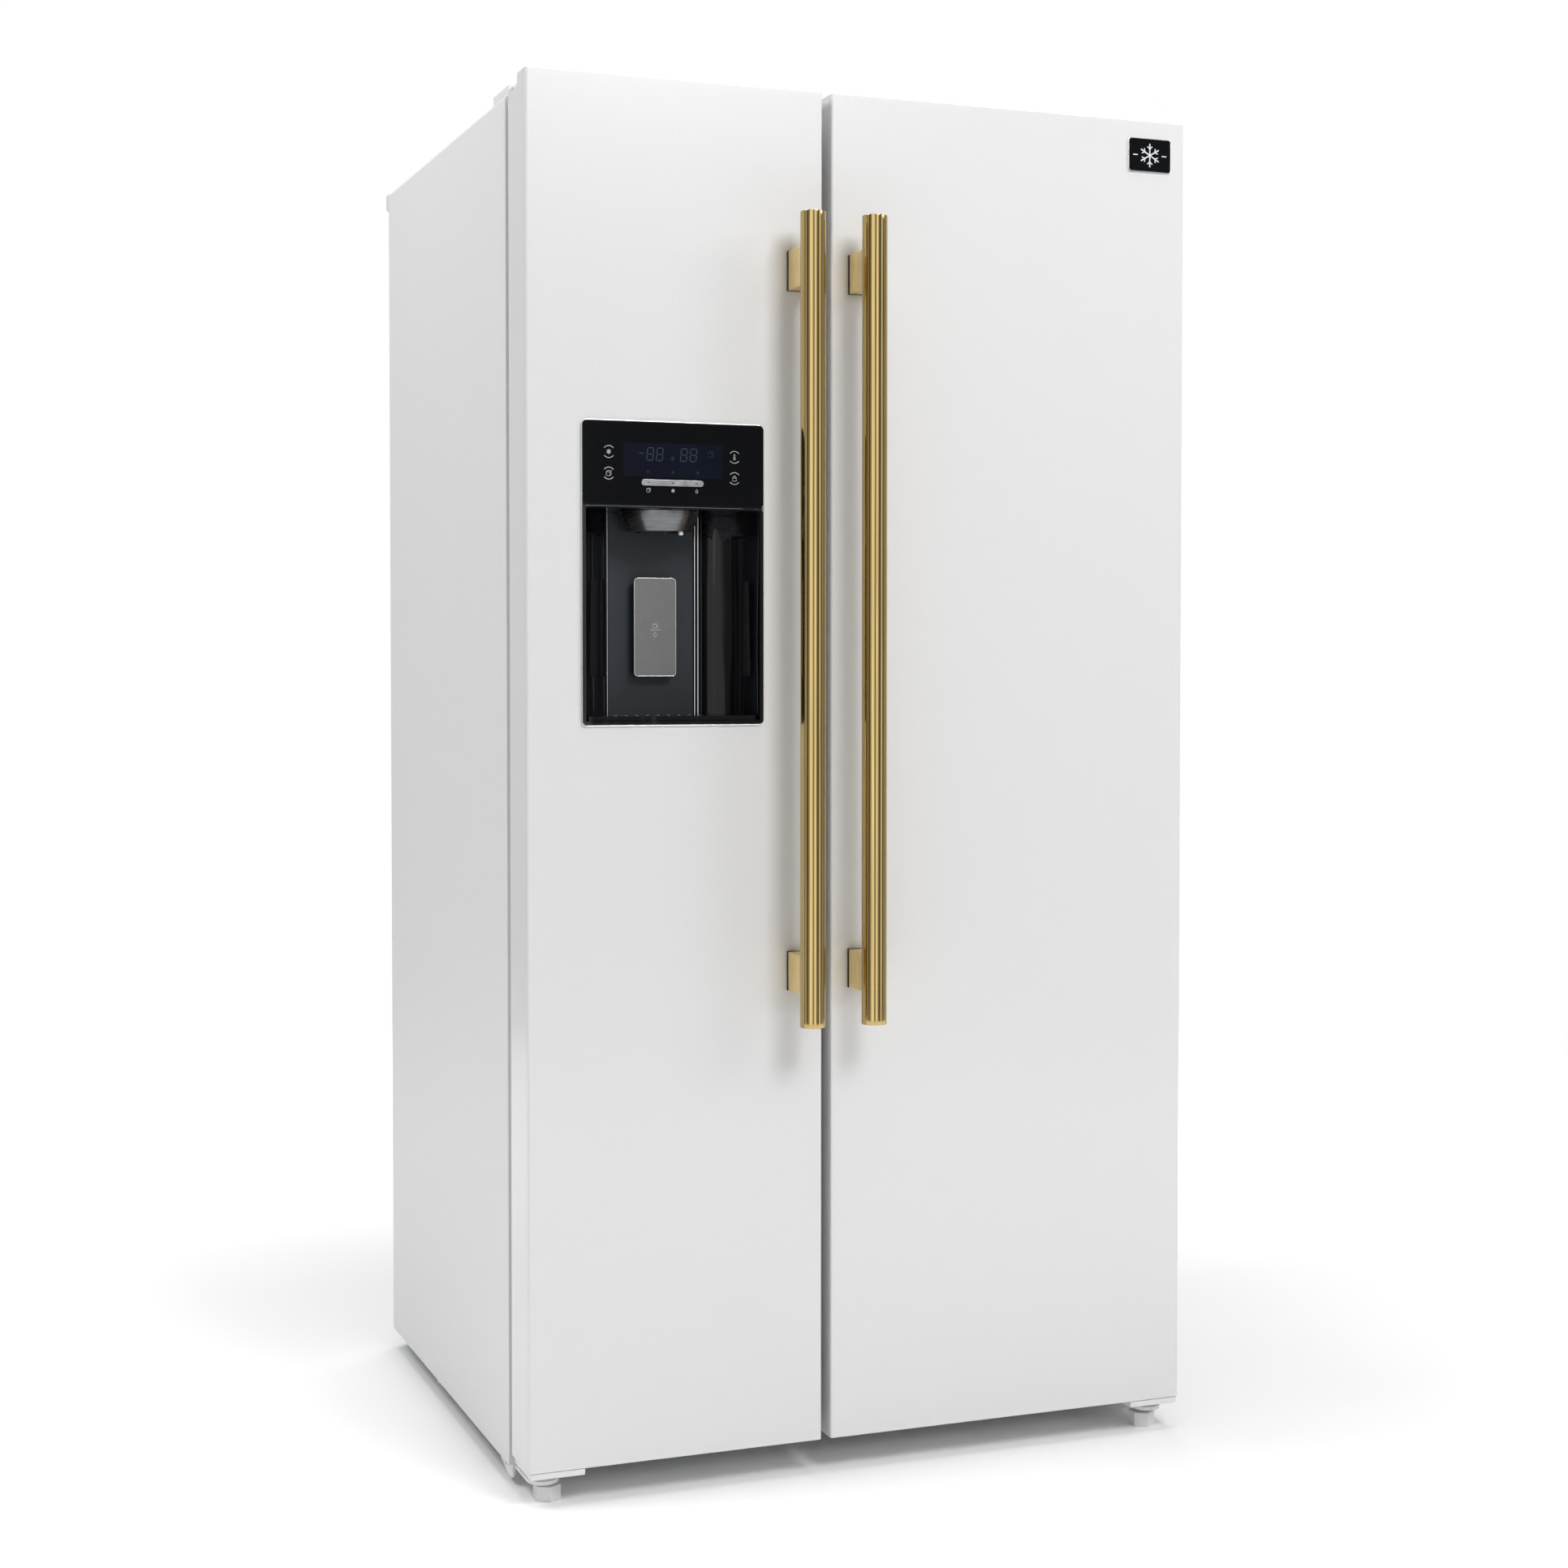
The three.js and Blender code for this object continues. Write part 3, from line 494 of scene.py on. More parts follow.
wl.new(mix2.outputs[0], out.inputs[0])


def area(name, loc, target, size, power, size_y=None):
    d = bpy.data.lights.new(name, "AREA")
    d.shape = "RECTANGLE"
    d.size, d.size_y, d.energy = size, size_y or size, power
    o = bpy.data.objects.new(name, d)
    o.location = loc
    o.rotation_euler = (Vector(target) - Vector(loc)).to_track_quat("-Z", "Y").to_euler()
    scene.collection.objects.link(o)
    return o


area("key", (0.42, -2.7, 2.9), (0, -0.3, 1.15), 0.95, 41, 0.95)
area("right", (3.5, -2.6, 3.3), (0.3, -0.36, 1.0), 1.4, 42)
area("over_front", (0.2, -1.35, 7.0), (0.2, -1.35, 0), 3.0, 80, 1.4)
area("over_left", (-1.35, 0.3, 7.0), (-1.35, 0.3, 0), 1.4, 45, 2.2)
area("over_back", (0.4, 2.3, 7.0), (0.4, 2.3, 0), 3.4, 112, 1.4)
area("side", (-2.2, 0.1, 3.4), (-0.45, 0.1, 1.65), 1.2, 47)

bm = bmesh.new()
bmesh.ops.create_circle(bm, cap_ends=True, radius=3.6, segments=128)
floor = new_object("floor", bm)
fm = Mat("pale_floor", (0.93, 0.93, 0.93), 0.85)
fm.tint(fm.noise(0.7), 0.004)
# painted light: the floor glows faintly next to the fridge and more strongly further away, so the far floor reads as
# brightly lit
away = fm.n.new("ShaderNodeVectorMath"); away.operation = "LENGTH"
fm.l.new(fm.coords(), away.inputs[0])
painted_floor_glow = fm.n.new("ShaderNodeMapRange"); painted_floor_glow.interpolation_type = "SMOOTHSTEP"
painted_floor_glow.inputs["From Min"].default_value, painted_floor_glow.inputs["From Max"].default_value = 0.7, 2.6
painted_floor_glow.inputs["To Min"].default_value, painted_floor_glow.inputs["To Max"].default_value = 0.03, 0.36
fm.l.new(away.outputs["Value"], painted_floor_glow.inputs["Value"])
fm.l.new(painted_floor_glow.outputs["Result"], fm.b.inputs["Emission Strength"])
fm.b.inputs["Emission Color"].default_value = (1, 1, 1, 1)
floor.data.materials.append(fm.m)

# ------------------------------------------------------------------ cabinet
HW = 455.5


def arch(w, z0, z1, r, n=6):
    """Outline in X and Z with rounded upper corners."""
    pts = [(-w, z0), (w, z0)]
    for cx, a0 in ((w - r, 0), (-w + r, 90)):
        for i in range(n + 1):
            a = math.radians(a0 + 90 * i / n)
            pts.append((cx + r * math.cos(a), z1 - r + r * math.sin(a)))
    return pts


wrap = prism("cabinet_shell", arch(HW, 28, 1751, 5.5), "Y", 96, 785, 1.0, 3, lambda a, m: m[1] < 96.01)
minus(wrap, prism("t", arch(HW - 1.2, 0, 1749.8, 4.3), "Y", 97.2, 800))
for x0, x1 in ((-408.3, -83.45), (-39.05, 408.3)):
    minus(wrap, prism("t", rounded(x0, x1, 75.2, 1703.8, 9), "Y", 90, 99))
put(wrap, "cabinet", M["cabinet"], "cabinet_wrapper")

STEP_Y, STEP_Z, Z0, Z1, BACK = 495, 335, 78, 1701, 716


def tub_pts(g, front):
    return [(front, Z0 - g), (STEP_Y + g, Z0 - g), (STEP_Y + g, STEP_Z - g), (BACK + g, STEP_Z - g), (BACK + g, Z1 + g), (front, Z1 + g)]


def liner(name, x0, x1, node, ledges, ribs):
    out = prism(name, tub_pts(2.5, 96), "X", x0 - 2.5, x1 + 2.5)
    inner = prism("t", tub_pts(0, 80), "X", x0, x1, 10, 5, lambda a, m: m[1] > 81)
    minus(out, inner)
    parts = [rbox("t", a, b, c, d, e, f, 1.2, 2) for a, b, c, d, e, f in ledges]
    for y0, y1, z in ribs:
        for s in (0, 1):
            xa, xb = (x0 - 1, x0 + 4.5) if s == 0 else (x1 - 4.5, x1 + 1)
            parts.append(rbox("t", xa, xb, y0, y1, z, z + 5, 1.6, 3))
    plus(out, *parts)
    return put(out, "cabinet", M["liner"], node)


def both(x0, x1, w, y0, y1, z0, z1):
    return [(x0 - 1, x0 + w, y0, y1, z0, z1), (x1 - w, x1 + 1, y0, y1, z0, z1)]


FX0, FX1, RX0, RX1 = -405.5, -86.25, -36.25, 405.5
fl = []
for z in (600, 960):
    fl += both(FX0, FX1, 7, 230, 620, z - 13.5, z - 5.5)
fl += both(FX0, FX1, 12, 222, 491, 77, 84) + both(FX0, FX1, 11, 230, 620, 336, 345.4) + both(FX0, FX1, 9, 230, 620, 1310, 1319)
rl = []
for z in (575, 950, 1320):
    rl += both(RX0, RX1, 7, 230, 700, z - 13.5, z - 5.5)
rl += both(RX0, RX1, 12, 222, 491, 77, 84) + both(RX0, RX1, 11, 230, 690, 336, 345.4)
liner("freezer_liner_moulding", FX0, FX1, "freezer_liner", fl, [(240, 600, 760), (240, 600, 1110)])
liner("fridge_liner_moulding", RX0, RX1, "fridge_liner", rl, [(240, 690, 700), (240, 690, 825), (240, 690, 1075), (240, 690, 1200), (240, 690, 1445), (240, 690, 1570)])

keep("cabinet_foam", M["foam"], 0)
keep("rear_panel", M["galvanised"], 0.4)
keep("base_pan", M["galvanised"], 0.4)
keep("rear_top_rail", M["rail"], 1.6, 3)
keep("machine_cover", M["galvanised"], 0.3)
keep("compressor", M["black_enamel"], 2.0, 3, 25)
keep("water_inlet_valve", M["grey_plastic"], 1.2, 3)
keep("power_cord_gland", M["dark_plastic"], 0.6)
for s in ("left", "right"):
    keep(f"hinge_cover_{s}", M["white_plastic"], 0.9, 3)
    keep(f"top_hinge_bracket_{s}", M["white_steel"], 0.7)
    keep(f"bottom_hinge_bracket_{s}", M["white_steel"], 0.9, 3)
    keep(f"foot_{s}", M["white_plastic"], 1.0, 3)
    keep(f"roller_{s}", M["dark_plastic"], 1.0)

# ------------------------------------------------------------------ freezer and refrigerator inside


def shelf(node, x0, x1, y1, z, body="cabinet"):
    """Glass plate in a white rim: a deep front trim with a rolled lip, and a low rear upstand."""
    glass = rbox(f"{node}_glass", x0 + 3.2, x1 - 3.2, 226.5, y1 - 8, z - 4.6, z - 0.4, 0.5, 2)
    put(glass, body, M["glass"], node)
    front = rbox(f"{node}_trim", x0 + 0.6, x1 - 0.6, 216, 226.3, z - 15, z + 2, 3.2, 5, lambda a, m: a == 0)
    put(front, body, M["white_plastic"])
    back = rbox(f"{node}_rear_trim", x0 + 0.8, x1 - 0.8, y1 - 7.8, y1, z - 5, z + 8, 1.8, 4, lambda a, m: a == 0)
    put(back, body, M["white_plastic"])
    for s, a, b in (("left", x0 + 0.8, x0 + 3.0), ("right", x1 - 3.0, x1 - 0.8)):
        side = rbox(f"{node}_{s}_trim", a, b, 226.5, y1 - 8, z - 5, z + 1.6, 0.7, 2)
        put(side, body, M["white_plastic"])


shelf("freezer_shelf_lower", FX0, FX1, 628, 600)
shelf("freezer_shelf_upper", FX0, FX1, 628, 960)
shelf("fridge_shelf_lower", RX0, RX1, 708, 575)
shelf("fridge_shelf_middle", RX0, RX1, 708, 950)
shelf("fridge_shelf_upper", RX0, RX1, 708, 1320)


def drawer(node, x0, x1, y1, z0, z1):
    a, b = x0 + 3.5, x1 - 3.5
    c = (x0 + x1) / 2
    outer = rbox(f"{node}_tub", a, b, 216, y1, z0, z1, 9, 5, lambda ax, m: ax == 2 or m[2] < z0 + 0.1)
    minus(outer, rbox("t", a + 3, b - 3, 219.4, y1 - 3, z0 + 3, z1 + 30, 7, 5, lambda ax, m: ax == 2 or m[2] < z0 + 4))
    grip = prism("t", rounded(c - 60, c + 60, z1 - 26, z1 + 20, 9), "Y", 205, 226)
    minus(outer, grip)
    put(outer, node, M["clear"], node)
    face = prism(f"{node}_front_band", rounded(a + 10, b - 10, z1 - 66, z1 - 30, 6), "Y", 214.6, 216.2, 0.5, 2, lambda ax, m: m[1] < 214.7)
    put(face, node, M["white_plastic"])


drawer("freezer_drawer_lower", FX0, FX1, 488, 84.6, 325)
drawer("freezer_drawer_upper", FX0, FX1, 622, 346, 560)
drawer("crisper_drawer_lower", RX0, RX1, 488, 84.6, 325)
drawer("crisper_drawer_upper", RX0, RX1, 700, 346, 556)
keep("evaporator_cover", M["liner"], 0.8)
keep("evaporator_coil", M["aluminium"], 0.4)
keep("evaporator_fan", M["dark_plastic"], 0.6)
keep("ice_bucket", M["clear"], 1.0, 2)
keep("ice_auger", M["zinc"], 0.6)
keep("ice_maker", M["grey_plastic"], 1.4, 3)

# ------------------------------------------------------------------ doors
DZ0, DZ1 = 45, 1765


def notch(s, g):
    """Step at the outer rear corner of the door's top for the hinge."""
    pts = [(38 - g, 1749 - g), (38 - g, 1756), (33 - g, 1780), (100, 1780), (100, 1749 - g)]
    return prism("t", pts, "X", *((-470, -375 + g) if s < 0 else (375 - g, 470)))


def door_skin(name, s, x0, x1, node, cuts=()):
    bm = bm_box(x0, x1, 0, 80, DZ0, DZ1)
    bevel(bm, lambda a, m: a == 2 and m[1] < 0.1, 3.2, 6)
    bevel(bm, lambda a, m: m[2] < DZ0 + 0.05 or m[2] > DZ1 - 0.05, 1.3, 3)
    skin = new_object(name, bm)
    minus(skin, notch(s, 0))
    inner = minus(rbox("t", x0 + 1.2, x1 - 1.2, 1.2, 95, DZ0 + 1.2, DZ1 - 1.2, 3.2, 5, lambda a, m: a == 2 and m[1] < 2), notch(s, 1.2))
    minus(skin, inner)
    for x in (x0, x1):
        minus(skin, rbox("t", x - 0.35, x + 0.35, 7.2, 7.9, DZ0 - 5, DZ1 + 5, 0))
    cap0, cap1 = (-453.5, -383) if s < 0 else (383, 453.5)
    cap = rbox(name + "_end_cap", cap0, cap1, 0.8, 76, 36.6, DZ0 - 0.55, 1.6, 3, lambda a, m: a == 2 or m[2] < 37)
    plus(cap, rbox("t", cap0 + 1.6, cap1 - 1.6, 2.6, 74, 40, DZ0 - 0.06, 0))
    minus(cap, cyl("t", "Z", (s * 433.5, 62), 5.6, 30, 62))
    put(cap, "freezer_door" if s < 0 else "fridge_door", M["white_plastic"])
    minus(skin, cyl("t", "Z", (s * 433.5, 62), 5.6, 30, 62), cyl("t", "Z", (s * 433.5, 62), 5.6, 1718, 1756), *cuts)
    return put(skin, "freezer_door" if s < 0 else "fridge_door", M["door"], node)


door_skin("freezer_door_panel", -1, -HW, -67.5, "freezer_door_skin", [prism("t", rounded(-384.8, -149.2, 966.4, 1340.1, 4), "Y", -5, 93)])
door_skin("fridge_door_panel", 1, -55, HW, "fridge_door_skin")
keep("freezer_door_inner", M["liner"], 2.2, 3)
keep("fridge_door_inner", M["liner"], 2.2, 3)


def gasket(node, body, x0, x1, i0, i1):
    """Magnetic seal: a flat magnet strip on a folded bellows, mitred at the corners."""
    z0, z1, k0, k1 = 52, 1741, 66, 1727
    w = i0 - x0
    prof = [(0.0, 82.4), (1.4, 84.6), (0.4, 87.0), (1.8, 89.2), (0.3, 91.2), (0.0, 95.7), (w, 95.7), (w - 0.4, 91.4), (w - 2.4, 89.4), (w - 0.8, 87.2), (w - 2.2, 84.8), (w - 1.0, 82.4)]
    bm = bmesh.new()
    rows = []
    for cx, cz, sx, sz in ((x0, z0, 1, 1), (x1, z0, -1, 1), (x1, z1, -1, -1), (x0, z1, 1, -1)):
        rows.append([bm.verts.new(P(cx + sx * d, y, cz + sz * d)) for d, y in prof])
    n = len(prof)
    for i in range(4):
        p, q = rows[i], rows[(i + 1) % 4]
        for k in range(n):
            j = (k + 1) % n
            bm.faces.new((p[k], p[j], q[j], q[k]))
    ob = new_object(node + "_bellows", bm)
    put(ob, body, M["seal"], node, angle=50)


gasket("freezer_door_gasket", "freezer_door", -431.5, -70.5, -417.5, -84.5)
gasket("fridge_door_gasket", "fridge_door", -52, 431.5, -38, 417.5)


def door_bin(node, body, x0, x1, mid, z0, h):
    """Bin with rounded corners."""
    def outline(g):
        raw = [(x0 + g, 82.5 + g), (x1 - g, 82.5 + g), (x1 - g, 160), (x1 - g - 20, 203 - g), (x0 + g + 20, 203 - g), (x0 + g, 160)]
        if mid == "left":
            raw = [(x0 + g, 82.5 + g), (x1 - g, 82.5 + g), (x1 - g, 172), (x1 - g - 16, 203 - g), (x0 + g + 22, 203 - g), (x0 + g, 150)]
        return raw
    def smooth(pts, r=16, n=6):
        out = []
        m = len(pts)
        for i, p in enumerate(pts):
            a, b = np.array(pts[i - 1], float), np.array(pts[(i + 1) % m], float)
            p = np.array(p, float)
            rr = 5 if i < 2 else r
            u, v = (a - p) / np.linalg.norm(a - p), (b - p) / np.linalg.norm(b - p)
            s, e = p + u * rr, p + v * rr
            for k in range(n + 1):
                t = k / n
                out.append(tuple((1 - t) ** 2 * s + 2 * t * (1 - t) * p + t * t * e))
        return out
    body_ob = prism(node + "_tray", smooth(outline(0)), "Z", z0, z0 + h, 1.6, 3, lambda a, m: m[2] < z0 + 0.1)
    minus(body_ob, prism("t", smooth(outline(2.4)), "Z", z0 + 3, z0 + h + 20, 1.4, 3, lambda a, m: m[2] < z0 + 3.1))
    # open the side that lies against the door lower than the front
    minus(body_ob, rbox("t", x0 + 14, x1 - 14, 78, 88, z0 + 45, z0 + h + 20, 8, 4, lambda a, m: a == 1))
    put(body_ob, body, M["clear"], node)


door_bin("freezer_door_bin_lower", "freezer_door", -382.6, -109.4, "right", 700, 112)
door_bin("freezer_door_bin_upper", "freezer_door", -382.6, -109.4, "right", 1445, 112)
for nme, z0, h in (("lower", 760, 120), ("middle", 1110, 112), ("upper", 1440, 112)):
    door_bin(f"fridge_door_bin_{nme}", "fridge_door", -13.1, 382.6, "left", z0, h)
keep("dairy_lid", M["clear"], 0.7)

# ------------------------------------------------------------------ handles
BAR_Y, BAR_Z0, BAR_Z1, MZ = -57, 587, 1603, (652, 1537)


def handle(door, x):
    bar = lathe(f"{door}_handle_tube", "Z", (x, BAR_Y), [(0, BAR_Z0), (15.0, BAR_Z0), (15.6, BAR_Z0 + 0.25), (16, BAR_Z0 + 0.9), (16, BAR_Z0 + 8), (16, 1095), (16, BAR_Z1 - 8), (16, BAR_Z1 - 0.9), (15.6, BAR_Z1 - 0.25), (15.0, BAR_Z1), (0, BAR_Z1)], 128)
    put(bar, f"{door}_door", M["brass"], f"{door}_handle_bar")
    for z, s in zip(MZ, ("lower", "upper")):
        base = rbox(f"{door}_handle_{s}_base", x - 13, x + 13, -4.6, -0.1, z - 25, z + 25, 0.5, 2)
        put(base, f"{door}_door", M["bronze"])
        neck = rbox(f"{door}_handle_{s}_neck", x - 12.6, x + 12.6, BAR_Y, -4.6, z - 24.6, z + 24.6, 0.9, 3)
        minus(neck, cyl("t", "Z", (x, BAR_Y), 16.05, z - 60, z + 60, 128))
        put(neck, f"{door}_door", M["brass_block"], f"{door}_handle_mount_{s}")
        for dz in (-13, 13):
            screw = cyl(f"{door}_handle_{s}_screw_{'a' if dz < 0 else 'b'}", "X", (-22, z + dz), 2.6, x + 12.4, x + 12.9, 24, 0.15)
            put(screw, f"{door}_door", M["bronze"])


handle("freezer", -103)
handle("fridge", -19.5)

# ------------------------------------------------------------------ dispenser
DX = -267
DISP = (-386.5, -147.5)


def alcove_pts(grow=0.0):
    """Smooth plan of the alcove: wide at the front, drawn in to the flat back panel."""
    key = [(114, -6), (114, 2), (112.5, 12), (108, 28), (99.5, 43), (88, 55.5), (76, 64), (68.5, 69), (64.5, 74), (63, 80), (62.6, 86)]
    right = [(DX + u, v) for u, v in key]
    left = [(DX - u, v) for u, v in key]
    return right + left[::-1]


D = "freezer_door"
house = prism("dispenser_surround", rounded(DISP[0] + 1.1, DISP[1] - 1.1, 966.1, 1237.0, 6), "Y", -2.6, -0.2, 0.8, 3, lambda a, m: m[1] < -2.5)
plus(house, rbox("t", -384.2, -149.8, -1, 92.5, 967, 1339.5, 0))
minus(house, prism("t", alcove_pts(), "Z", 971, 1234), rbox("t", -400, -100, -10, 0.2, 1237.1, 1400, 0))
minus(house, cyl("t", "Z", (DX, 58), 30, 1230, 1290), rbox("t", -311, -223, 58, 95, 1256, 1292, 0))
put(house, D, M["black"], "dispenser_housing", angle=40)
panel = prism("dispenser_control_glass", rounded(DISP[0] + 1.1, DISP[1] - 1.1, 1237.6, 1340.9, 6), "Y", -3.3, -0.3, 0.6, 3, lambda a, m: m[1] < -3.2)
put(panel, D, M["panel"], "dispenser_panel")


def ring(name, u0, u1, v0, v1, r, w, y0, y1, bev, material, body=D, n=8):
    ob = prism(name, rounded(u0, u1, v0, v1, r, n), "Y", y0, y1, 0)
    minus(ob, prism("t", rounded(u0 + w, u1 - w, v0 + w, v1 - w, max(0.3, r - w), n), "Y", y0 - 5, y1 + 5))
    if bev:
        bmm = bmesh.new(); bmm.from_mesh(ob.data)
        bevel(bmm, lambda a, m: m[1] < y0 + 0.01, bev, 2)
        bmm.to_mesh(ob.data); bmm.free()
    return put(ob, body, material)


ring("dispenser_bezel", DISP[0], DISP[1], 965, 1342, 7, 1.0, -3.0, -0.15, 0.4, M["silver"])

# flat back panel with its bright edge ribs
back = rbox("dispenser_back_panel", DX - 59, DX + 54.5, 85.55, 86.3, 971.4, 1233.6, 0.25, 2)
put(back, D, M["slate"])
for i, (u, rr) in enumerate(((56.6, 0.95), (60.3, 0.8))):
    rib = cyl(f"dispenser_edge_rib_{i}", "Z", (DX + u, 83.6 - i * 2.4), rr, 971.6, 1233.4, 16)
    put(rib, D, M["bright"])
rib = cyl("dispenser_edge_rib_2", "Z", (DX - 60.8, 83.0), 0.7, 971.6, 1233.4, 16)
put(rib, D, M["silver"])

# ice nozzle: a tapered brushed collar with a rolled lip
noz = lathe("dispenser_ice_collar", "Z", (DX, 58), [(31, 1208), (41.2, 1208), (42.2, 1209.2), (46.5, 1219), (49.4, 1227), (50.6, 1233.4), (31, 1233.4), (31, 1208)], 96)
minus(noz, rbox("t", -400, -100, 84.2, 200, 1200, 1240, 0))
put(noz, D, M["nozzle"], "ice_chute_nozzle", angle=28)
tip = rbox("dispenser_water_tip", DX + 16, DX + 21, 24, 29, 1203.5, 1209, 0.8, 3)
put(tip, D, M["white_plastic"])

pad = prism("dispenser_lever_plate", rounded(-296, -240, 1026, 1151, 5, 6), "Y", 70, 75, 0.9, 3)
plus(pad, rbox("t", -280, -256, 74, 84, 1136, 1149, 1, 2))
put(pad, "dispenser_paddle", M["paddle"], "dispenser_paddle")
ring("dispenser_lever_rim", -296.1, -239.9, 1025.9, 1151.1, 5.1, 0.9, 69.75, 72, 0.25, M["silver"], "dispenser_paddle")
keep("dispenser_drip_tray", M["black"], 0.5)


# ------------------------------------------------------------------ printed icons
def stroke(bm, pts, w, y, t=0.08, closed=False):
    """A flat printed line through points (x, z), w wide, standing t proud of the plane y."""
    n = len(pts)
    L, R = [], []
    for i, p in enumerate(pts):
        a = pts[i - 1] if (i or closed) else p
        b = pts[(i + 1) % n] if (i < n - 1 or closed) else p
        d = Vector((b[0] - a[0], b[1] - a[1]))
        d = d.normalized() if d.length else Vector((1, 0))
        nx, nz = -d.y * w / 2, d.x * w / 2
        L.append((p[0] + nx, p[1] + nz)); R.append((p[0] - nx, p[1] - nz))
    rows = []
    for l, r in zip(L, R):
        rows.append([bm.verts.new(P(l[0], y - t, l[1])), bm.verts.new(P(r[0], y - t, r[1])), bm.verts.new(P(r[0], y, r[1])), bm.verts.new(P(l[0], y, l[1]))])
    m = n if closed else n - 1
    for i in range(m):
        p, q = rows[i], rows[(i + 1) % n]
        for k in range(4):
            bm.faces.new((p[k], p[(k + 1) % 4], q[(k + 1) % 4], q[k]))
    if not closed:
        bm.faces.new(rows[0]); bm.faces.new(rows[-1][::-1])


def arc(cx, cz, r, a0, a1, n=12):
    return [(cx + r * math.cos(math.radians(a0 + (a1 - a0) * i / n)), cz + r * math.sin(math.radians(a0 + (a1 - a0) * i / n))) for i in range(n + 1)]


def flake(bm, cx, cz, r, w, y, t=0.08):
    for k in range(3):
        a = math.radians(90 + 60 * k)
        c, s = math.cos(a), math.sin(a)
        stroke(bm, [(cx - r * c, cz - r * s), (cx + r * c, cz + r * s)], w, y - 0.004 * k, t)
        for q in (-1, 1):
            bx, bz = cx + q * 0.55 * r * c, cz + q * 0.55 * r * s
            for da in (-50, 50):
                b = a + math.radians(da) + (0 if q > 0 else math.pi)
                stroke(bm, [(bx, bz), (bx + 0.32 * r * math.cos(b), bz + 0.32 * r * math.sin(b))], w * 0.8, y - 0.004 * k - 0.012, t)


def drop(bm, cx, cz, r, w, y):
    pts = arc(cx, cz - r * 0.2, r * 0.62, -210, 30, 14) + [(cx, cz + r)]
    stroke(bm, pts, w, y, closed=True)


def cube_icon(bm, cx, cz, r, w, y):
    stroke(bm, [(cx - r, cz - r), (cx + r * 0.5, cz - r), (cx + r * 0.5, cz + r * 0.5), (cx - r, cz + r * 0.5)], w, y, closed=True)
    stroke(bm, [(cx - r, cz + r * 0.5), (cx - r * 0.4, cz + r), (cx + r, cz + r), (cx + r, cz - r * 0.4), (cx + r * 0.5, cz - r)], w * 0.9, y - 0.01)


def lock(bm, cx, cz, r, w, y):
    stroke(bm, [(cx - r * 0.8, cz - r), (cx + r * 0.8, cz - r), (cx + r * 0.8, cz + r * 0.2), (cx - r * 0.8, cz + r * 0.2)], w, y, closed=True)
    stroke(bm, [(cx - r * 0.5, cz + r * 0.2)] + arc(cx, cz + r * 0.5, r * 0.5, 180, 0, 8) + [(cx + r * 0.5, cz + r * 0.2)], w * 0.9, y - 0.01)


def thermo(bm, cx, cz, r, w, y):
    stroke(bm, arc(cx, cz - r * 0.6, r * 0.42, 120, 420, 14), w, y)
    stroke(bm, [(cx - r * 0.22, cz - r * 0.3), (cx - r * 0.22, cz + r)] + arc(cx, cz + r, r * 0.22, 180, 0, 5) + [(cx + r * 0.22, cz - r * 0.3)], w * 0.8, y - 0.01)


YP = -3.3
bm = bmesh.new()
for cx, cz, icon in ((-351.7, 1302.7, flake), (-351.7, 1276.3, cube_icon), (-187.4, 1300.5, thermo), (-187.4, 1274.0, lock)):
    stroke(bm, arc(cx, cz, 7.4, 38, 142), 0.55, YP)
    stroke(bm, arc(cx, cz, 7.4, 218, 322), 0.55, YP)
    icon(bm, cx, cz, 3.2, 0.42, YP)
for cx, icon in ((-300.5, cube_icon), (-268.5, flake), (-237.5, drop)):
    icon(bm, cx, 1256.6, 2.4, 0.36, YP)
icons = new_object("dispenser_icons", bm)
put(icons, D, M["icons"], weighted=False)
win = prism("dispenser_display", rounded(-332.5, -203.5, 1273, 1315, 1.2), "Y", -3.36, -3.2)
put(win, D, M["display"])


def digit(bm, x, z, w, h, lean=0.1):
    t, g, y = 1.5, 0.7, -3.36
    def pt(u, v):
        return (x + u + lean * v, z + v)
    h2 = h / 2
    for a, b in (((g, h), (w - g, h)), ((g, h2), (w - g, h2)), ((g, 0), (w - g, 0)), ((0, h2 + g), (0, h - g)), ((w, h2 + g), (w, h - g)), ((0, g), (0, h2 - g)), ((w, g), (w, h2 - g))):
        stroke(bm, [pt(*a), pt(*b)], t, y, 0.05)


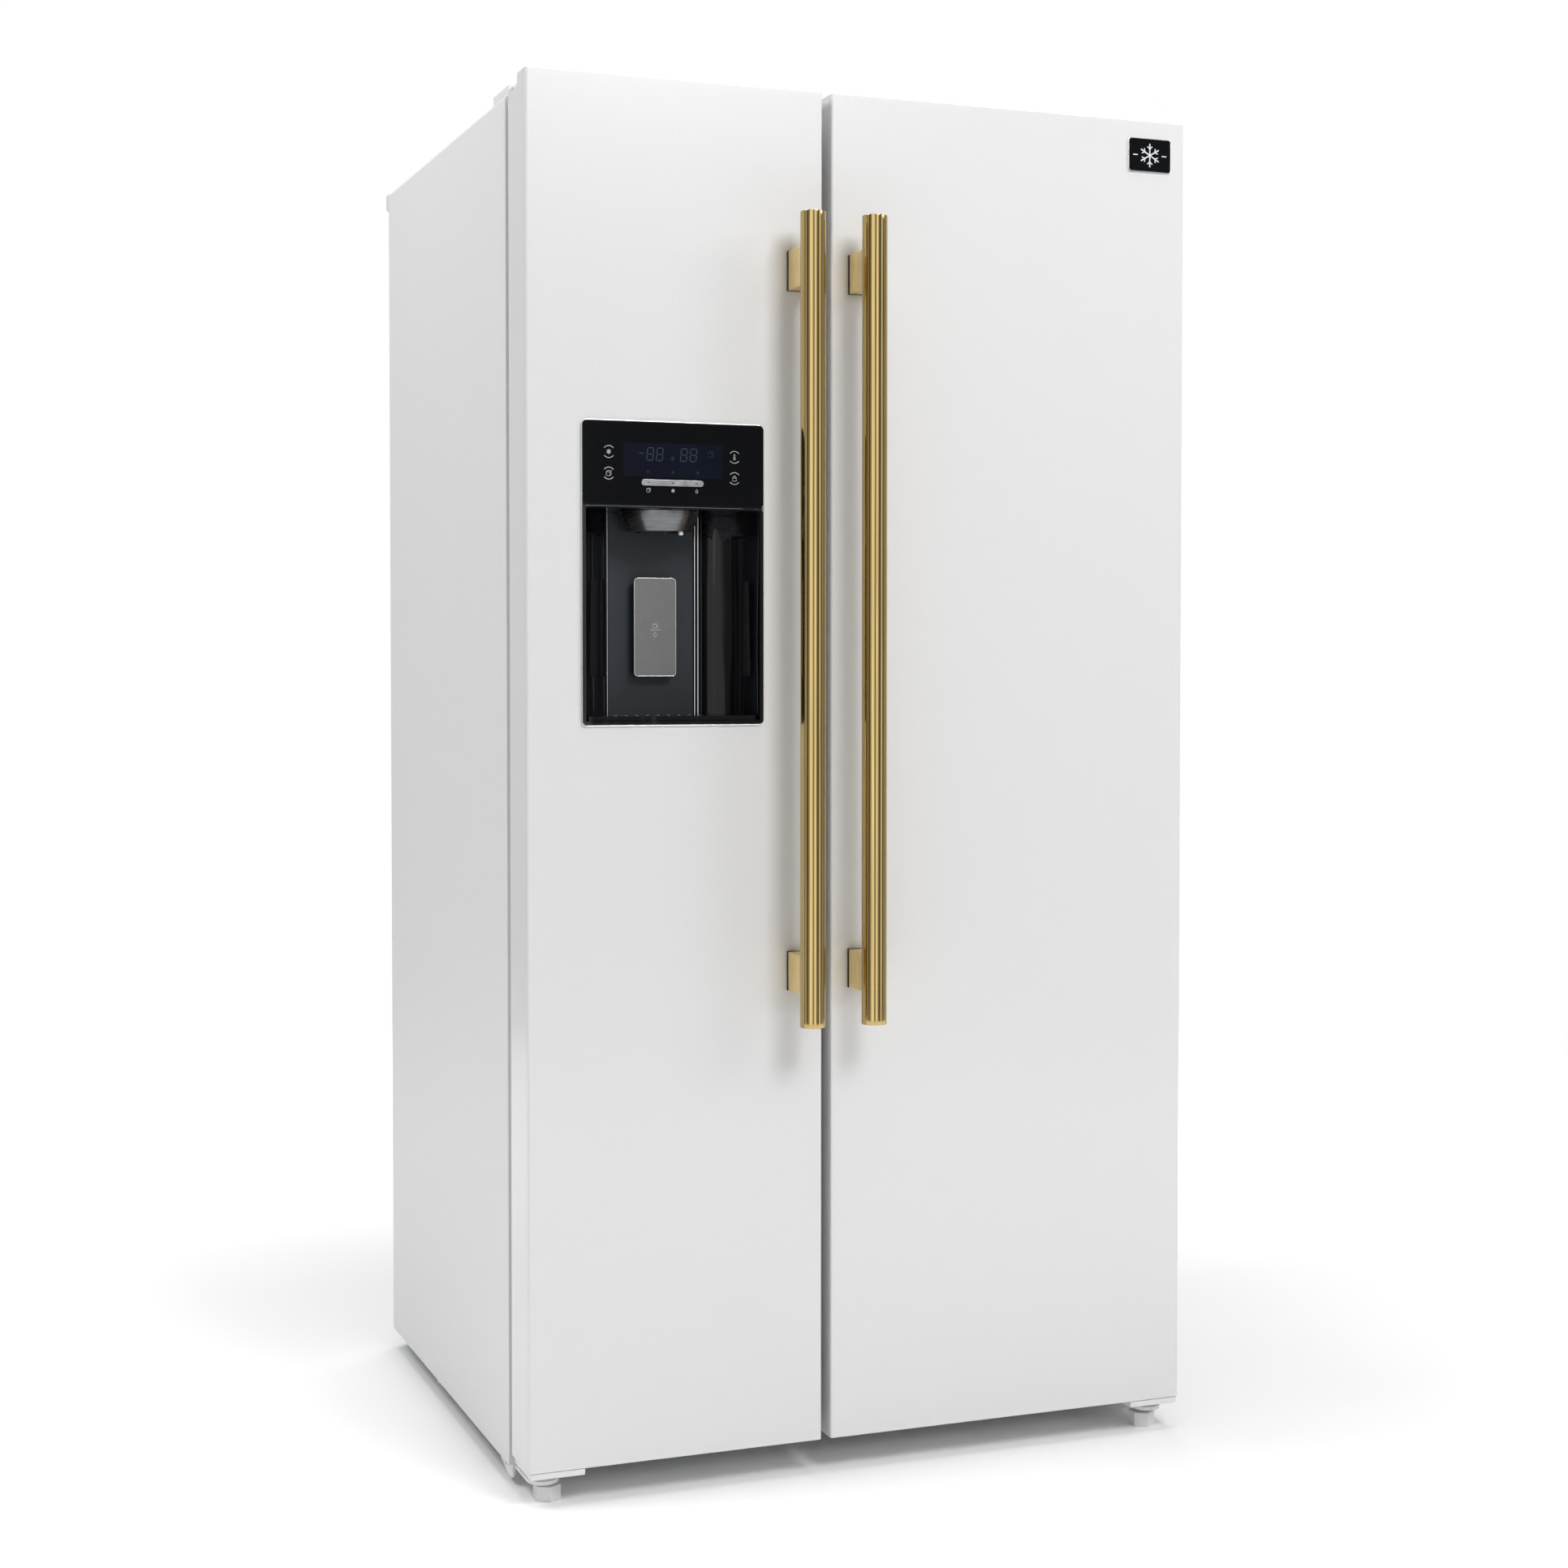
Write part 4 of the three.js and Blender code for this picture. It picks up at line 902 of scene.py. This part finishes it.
bm = bmesh.new()
for x in (-303, -290.5, -259, -246.5):
    digit(bm, x, 1293.5, 8, 15.5)
stroke(bm, [(-312.5, 1302), (-307, 1302)], 1.3, -3.36, 0.05)
flake(bm, -269, 1296.5, 3, 0.5, -3.36, 0.05)
cube_icon(bm, -219, 1303, 3.5, 0.5, -3.36)
for x in (-301, -268.5, -236):
    flake(bm, x, 1279.5, 2.2, 0.35, -3.36, 0.05)
seg = new_object("dispenser_display_segments", bm)
put(seg, D, M["segments"], weighted=False)

pill = prism("dispenser_mode_bar", rounded(-309.5, -228.5, 1262.4, 1269.8, 3.69, 8), "Y", -3.75, -3.25, 0.25, 2, lambda a, m: m[1] < -3.7)
put(pill, D, M["silver"])
ring("dispenser_mode_bar_line", -307.6, -230.4, 1263.9, 1268.3, 2.19, 0.35, -3.8, -3.6, 0, M["paddle"])
bm = bmesh.new()
for x in (-300.5, -268.5, -237.5):
    stroke(bm, [(x - 1.6, 1266.1), (x + 1.6, 1266.1)], 1.0, -3.75, 0.08)
marks = new_object("dispenser_mode_marks", bm)
put(marks, D, M["black_enamel"], weighted=False)
bm = bmesh.new()
cube_icon(bm, -268, 1090.5, 2.9, 0.4, 69.98)
stroke(bm, [(-275, 1085.2), (-261, 1085.2)], 0.35, 69.98)
drop(bm, -268, 1079.2, 3.3, 0.4, 69.98)
pm = new_object("dispenser_lever_icons", bm)
put(pm, "dispenser_paddle", M["icons"], weighted=False)

# ------------------------------------------------------------------ badge
plate = prism("badge_tile", rounded(371.2, 434, 1698.2, 1741.5, 3.6), "Y", -2.3, -0.3, 0.5, 2, lambda a, m: m[1] < -2.2)
put(plate, "fridge_door", M["panel"], "badge_plate")
ring("badge_rim", 370.7, 434.5, 1697.7, 1742, 4, 0.8, -2.5, -0.2, 0.3, M["silver"], "fridge_door")
bm = bmesh.new()
flake(bm, 402.6, 1719.8, 15.5, 1.7, -2.3, 0.15)
for x in (377.5, 420.7):
    stroke(bm, [(x, 1719.8), (x + 7, 1719.8)], 1.4, -2.3, 0.15)
emblem = new_object("badge_emblem", bm)
put(emblem, "fridge_door", M["icons"], weighted=False)

bpy.context.view_layer.update()
